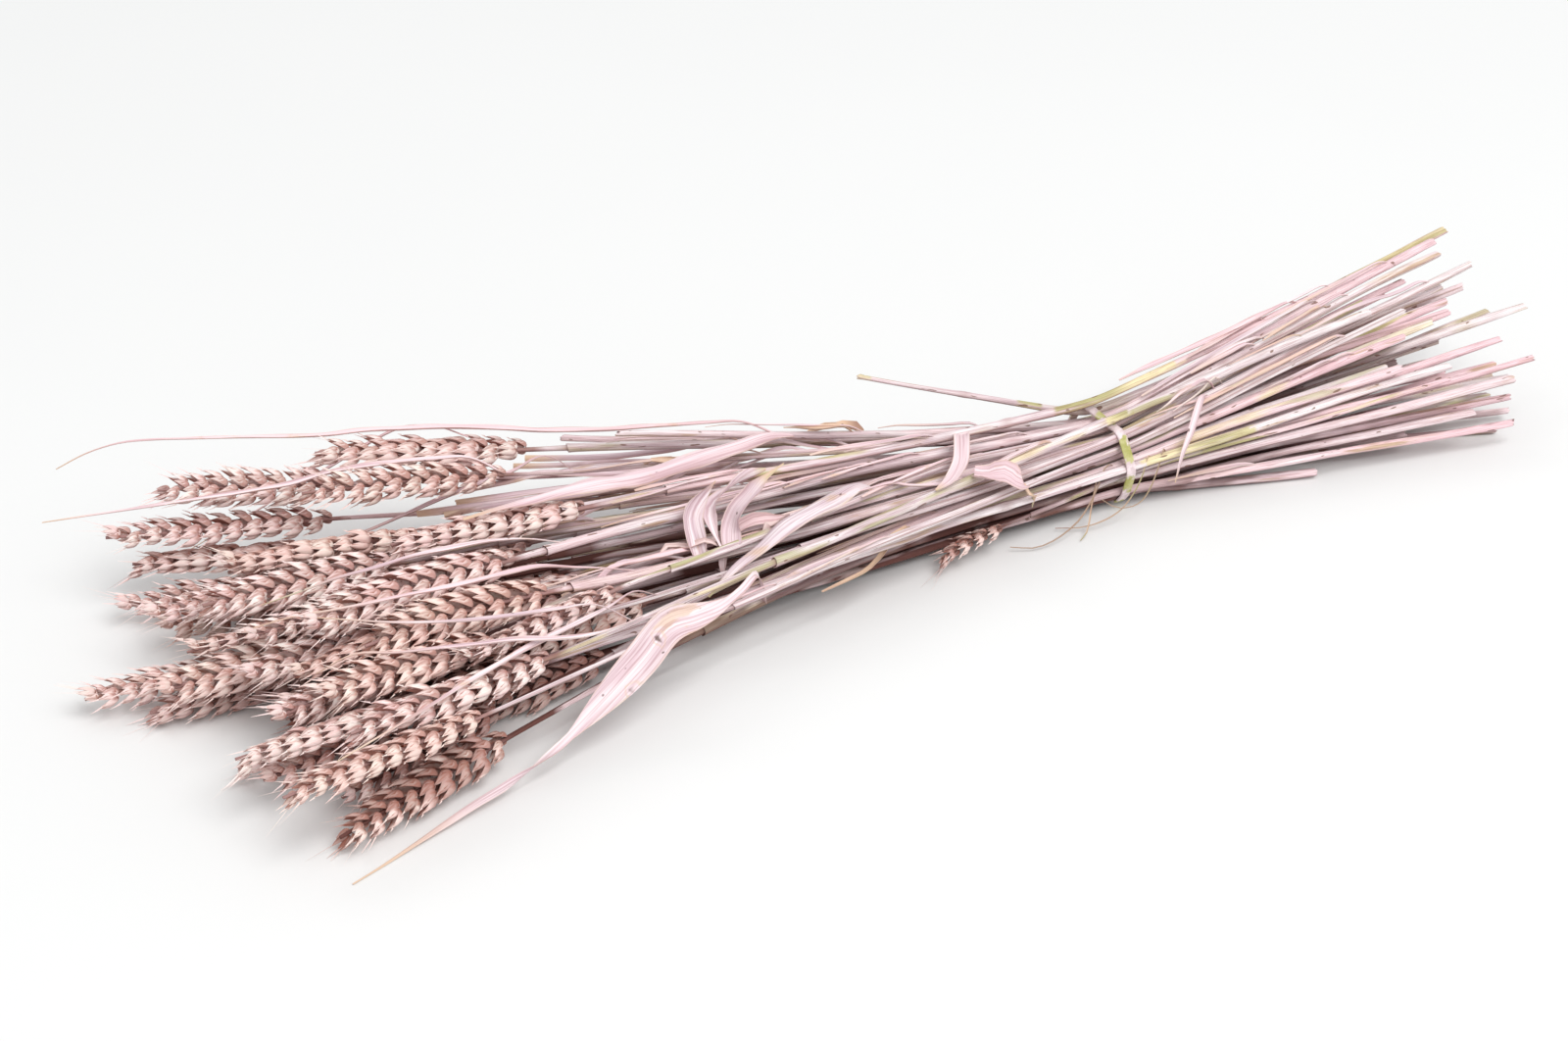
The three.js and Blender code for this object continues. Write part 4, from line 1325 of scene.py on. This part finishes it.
def growBlade(piece, leaf, host, rng):
    look = bladeLook
    path = smoothPath(bladeSpine(leaf, host), look["step"])
    steps = len(path) - 1
    length = sum((b - a).length for a, b in zip(path, path[1:]))
    cup = leaf.get("cup", 0.8)
    dryFrom, dryTo = leaf.get("dry", (0.85, 1.0))
    phase = rng.uniform(0, math.tau)
    tint, seed = rng.random(), rng.random()
    bm, grain, shade = newBody()
    bmesh.ops.create_grid(bm, x_segments=look["across"], y_segments=steps, size=1)
    for vert in bm.verts:
        u, t = vert.co.x, (vert.co.y + 1) / 2
        k = round(t * steps)
        along = (path[min(k + 1, steps)] - path[max(k - 1, 0)]).normalized()
        side = sideOf(along)
        twist = leaf.get("twist", 0) * smooth(*leaf.get("twistAt", (0.2, 1)), t)
        side.rotate(Quaternion(along, twist - bladeLean(leaf, t)))
        up = along.cross(side)
        curl = leaf.get("curl", 0) * mm * smooth(0.1, 0.6, t)
        middle = path[k] + side * (curl * math.sin(phase + 5 * t)) + up * (curl * math.cos(phase + 5 * t))
        half = bladeHalfWidth(leaf, t)
        sunk = half * (1 - math.cos(cup * u)) / math.sin(abs(cup)) * (1 if cup > 0 else -1)
        wave = look["wave"] * math.sin(phase + math.tau * t * length / look["waveLength"]) * u * abs(u)
        wave *= half / look["waveWidth"]
        vert.co = middle + side * (half * math.sin(abs(cup) * u) / math.sin(abs(cup))) + up * (sunk + wave)
        vert[grain] = (t * length, u * half, seed)
        dry = 1 - smooth(dryFrom, dryTo, t) if dryFrom == 0 else smooth(dryFrom, dryTo, t)
        mark = leaf.get("mark", abs(u))
        for spotT, spotU in leaf.get("spots", ()):
            away = math.hypot((t - spotT) * length, (u - spotU) * half) / look["spotSize"]
            mark = max(mark, look["spotMark"] - away)
        vert[shade] = (t, mark, tint, dry * leaf.get("dryness", 1))
    bmesh.ops.solidify(bm, geom=bm.faces[:], thickness=look["thickness"])
    addBody(piece, (bm, grain, shade), leafSlot)


# Putting the pieces together

pieceLook = {
    "least": 0.05 * mm,  # height above the table
    "sharpAngle": 55,
}


def newPiece():
    return {"bm": bmesh.new(), "marks": []}


def finishPiece(name, piece, node):
    obj = meshObject(name, piece["bm"], materials)
    mesh = obj.data
    places = np.empty(len(mesh.vertices) * 3)
    mesh.vertices.foreach_get("co", places)
    places[2::3] = np.maximum(places[2::3], pieceLook["least"])
    mesh.vertices.foreach_set("co", places)
    marks = np.concatenate(piece["marks"])
    paintedShade = pileShadeShare(places.reshape(-1, 3)).astype(np.float32)
    for key, kind, value, row in (
        ("grain", "FLOAT_VECTOR", "vector", marks[:, :3].ravel()),
        ("shade", "FLOAT_COLOR", "color", marks[:, 3:].ravel()),
        ("paintedShade", "FLOAT", "value", paintedShade),
    ):
        mesh.attributes.new(key, kind, "POINT").data.foreach_set(value, row)
    mesh.shade_smooth()
    mesh.set_sharp_from_angle(angle=math.radians(pieceLook["sharpAngle"]))
    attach(obj, "root")
    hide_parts(node)
    return sum(len(polygon.vertices) - 2 for polygon in mesh.polygons)


stripLook = {
    "tries": 8,  # on each stalk
    "room": (10 * mm, 20 * mm),  # from the sheath's end and the cut end to the place where one starts
    "length": (30 * mm, 110 * mm),
    "shares": (0, 0.25, 0.5, 0.75, 1),
    "width": (0.9, 3.2),
    "dry": [(0.6, 1.0), (0.9, 1.0), (-1, -0.5), (0.2, 0.9)],
    "stray": 3.5 * mm,
    "endRoom": 5 * mm,
    "bandRoom": 6 * mm,
    "clearance": 0.35 * mm,
    "step": 9 * mm,
    "openness": 0.6 * mm,
}


def isOpen(stalk, x):
    # Whether nothing lies over the stalk at X
    place = lineAt(stalk, x)
    return topUnder(place.x, place.y, 1, 0) < place.z + girthAt(stalk, x) + stripLook["openness"]


def looseStrips(stalk, rng):
    # Strips of split sheath that lie along a stalk where it is open to the sky
    look = stripLook
    strips = []
    for _ in range(look["tries"]):
        start = rng.uniform(stalk.sheathX + look["room"][0], stalk.cutX - look["room"][1])
        length = rng.uniform(*look["length"])
        stray = rng.uniform(-1, 1) * look["stray"]
        width = rng.uniform(*look["width"])
        dry = rng.choice(look["dry"])
        xs = [start - length * share for share in look["shares"]]
        if xs[-1] < stalk.endX + look["endRoom"] or not all(isOpen(stalk, x) for x in xs[:3]):
            continue
        if any(abs(x - bandPlace.x) < look["bandRoom"] for x in xs) or start > bandPlace.x > xs[-1]:
            continue
        points = [
            (lineAt(stalk, x) + Vector((0, stray * share**1.5, girthAt(stalk, x))) - bandPlace) / mm
            for x, share in zip(xs, look["shares"])
        ]
        taper = (rng.uniform(0.3, 0.9), 1.15)
        strips.append({
            "width": width, "cup": rng.uniform(0.6, 1.4), "taper": taper, "tail": 0.2, "dry": dry,
            "dryness": rng.uniform(0.2, 0.9), "clearance": look["clearance"], "coarseStep": look["step"],
            "points": points,
        })
    return strips


def growStalk(stalk, index):
    rng = random.Random(100 + index)
    stalk.tint = rng.random()
    stalk.greenness = rng.random()
    stalk.seed = rng.random()
    piece = newPiece()
    growStraw(piece, stalk, rng)
    if stalk.earSide:
        growEar(piece, stalk, rng)
    for leaf in leaves:
        if leaf["host"] is stalk:
            growBlade(piece, leaf, stalk, rng)
    for strip in looseStrips(stalk, rng):
        growBlade(piece, strip, stalk, rng)
    return finishPiece(stalk.name + "_grown", piece, stalk.name)


for leaf in leaves:
    leaf["host"] = hostOf(leaf)
counts = [growStalk(stalk, index) for index, stalk in enumerate(stalks)]
print("stalks grown,", sum(counts), "triangles, at most", max(counts), "in one")

# The band

bandLook = {
    "thickness": 1.1 * mm,
    "width": 4.4 * mm,
    "segments": 90,
    "smoothing": 2,
    "bevel": 0.4 * mm,
    "bevelSegments": 2,
    "waver": 0.25 * mm,
    "lift": 0.02 * mm,
    "grainStep": 1.3,  # mm from one segment to the next
}


def bandOutline():
    # The CAD band's outer edge, as points across the bundle at equal steps, with its corners rounded off
    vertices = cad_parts["band"].data.vertices
    flat = [Vector(corner) for corner in {(round(v.co.y, 6), round(v.co.z, 6)) for v in vertices}]
    outer = [flat[i] for i in mathutils.geometry.convex_hull_2d(flat)]
    outer.append(outer[0])
    lengths = np.cumsum([0] + [(b - a).length for a, b in zip(outer, outer[1:])])
    places = np.linspace(0, lengths[-1], bandLook["segments"], endpoint=False)
    ways = [np.interp(places, lengths, [corner[way] for corner in outer]) for way in (0, 1)]
    ring = np.stack(ways, axis=1)
    for _ in range(bandLook["smoothing"]):
        ring = 0.25 * np.roll(ring, 1, axis=0) + 0.5 * ring + 0.25 * np.roll(ring, -1, axis=0)
    return ring


def growBand():
    look = bandLook
    ring = bandOutline()
    count = look["segments"]
    piece = newPiece()
    bm, grain, shade = newBody()
    bmesh.ops.create_cone(bm, cap_ends=False, segments=count, radius1=1, radius2=1, depth=2)
    for vert in bm.verts:
        i = round(math.atan2(vert.co.y, vert.co.x) / math.tau * count) % count
        y, z = ring[i]
        waver = look["waver"] * math.sin(3 * math.tau * i / count)
        across = vert.co.z * look["width"] / 2
        vert.co = (bandPlace.x + waver + across, y, max(z, look["lift"]))
        vert[grain] = (i * look["grainStep"] * mm, across, 0.5)
    bmesh.ops.recalc_face_normals(bm, faces=bm.faces)
    bmesh.ops.solidify(bm, geom=bm.faces[:], thickness=look["thickness"])
    rims = [edge for edge in bm.edges if edge.calc_face_angle(0) > 1]
    bmesh.ops.bevel(
        bm, geom=rims, offset=look["bevel"], segments=look["bevelSegments"], profile=0.5, affect="EDGES",
        material=-1,
    )
    addBody(piece, (bm, grain, shade), bandSlot)
    return finishPiece("band_ring", piece, "band")


print("band made,", growBand(), "triangles")
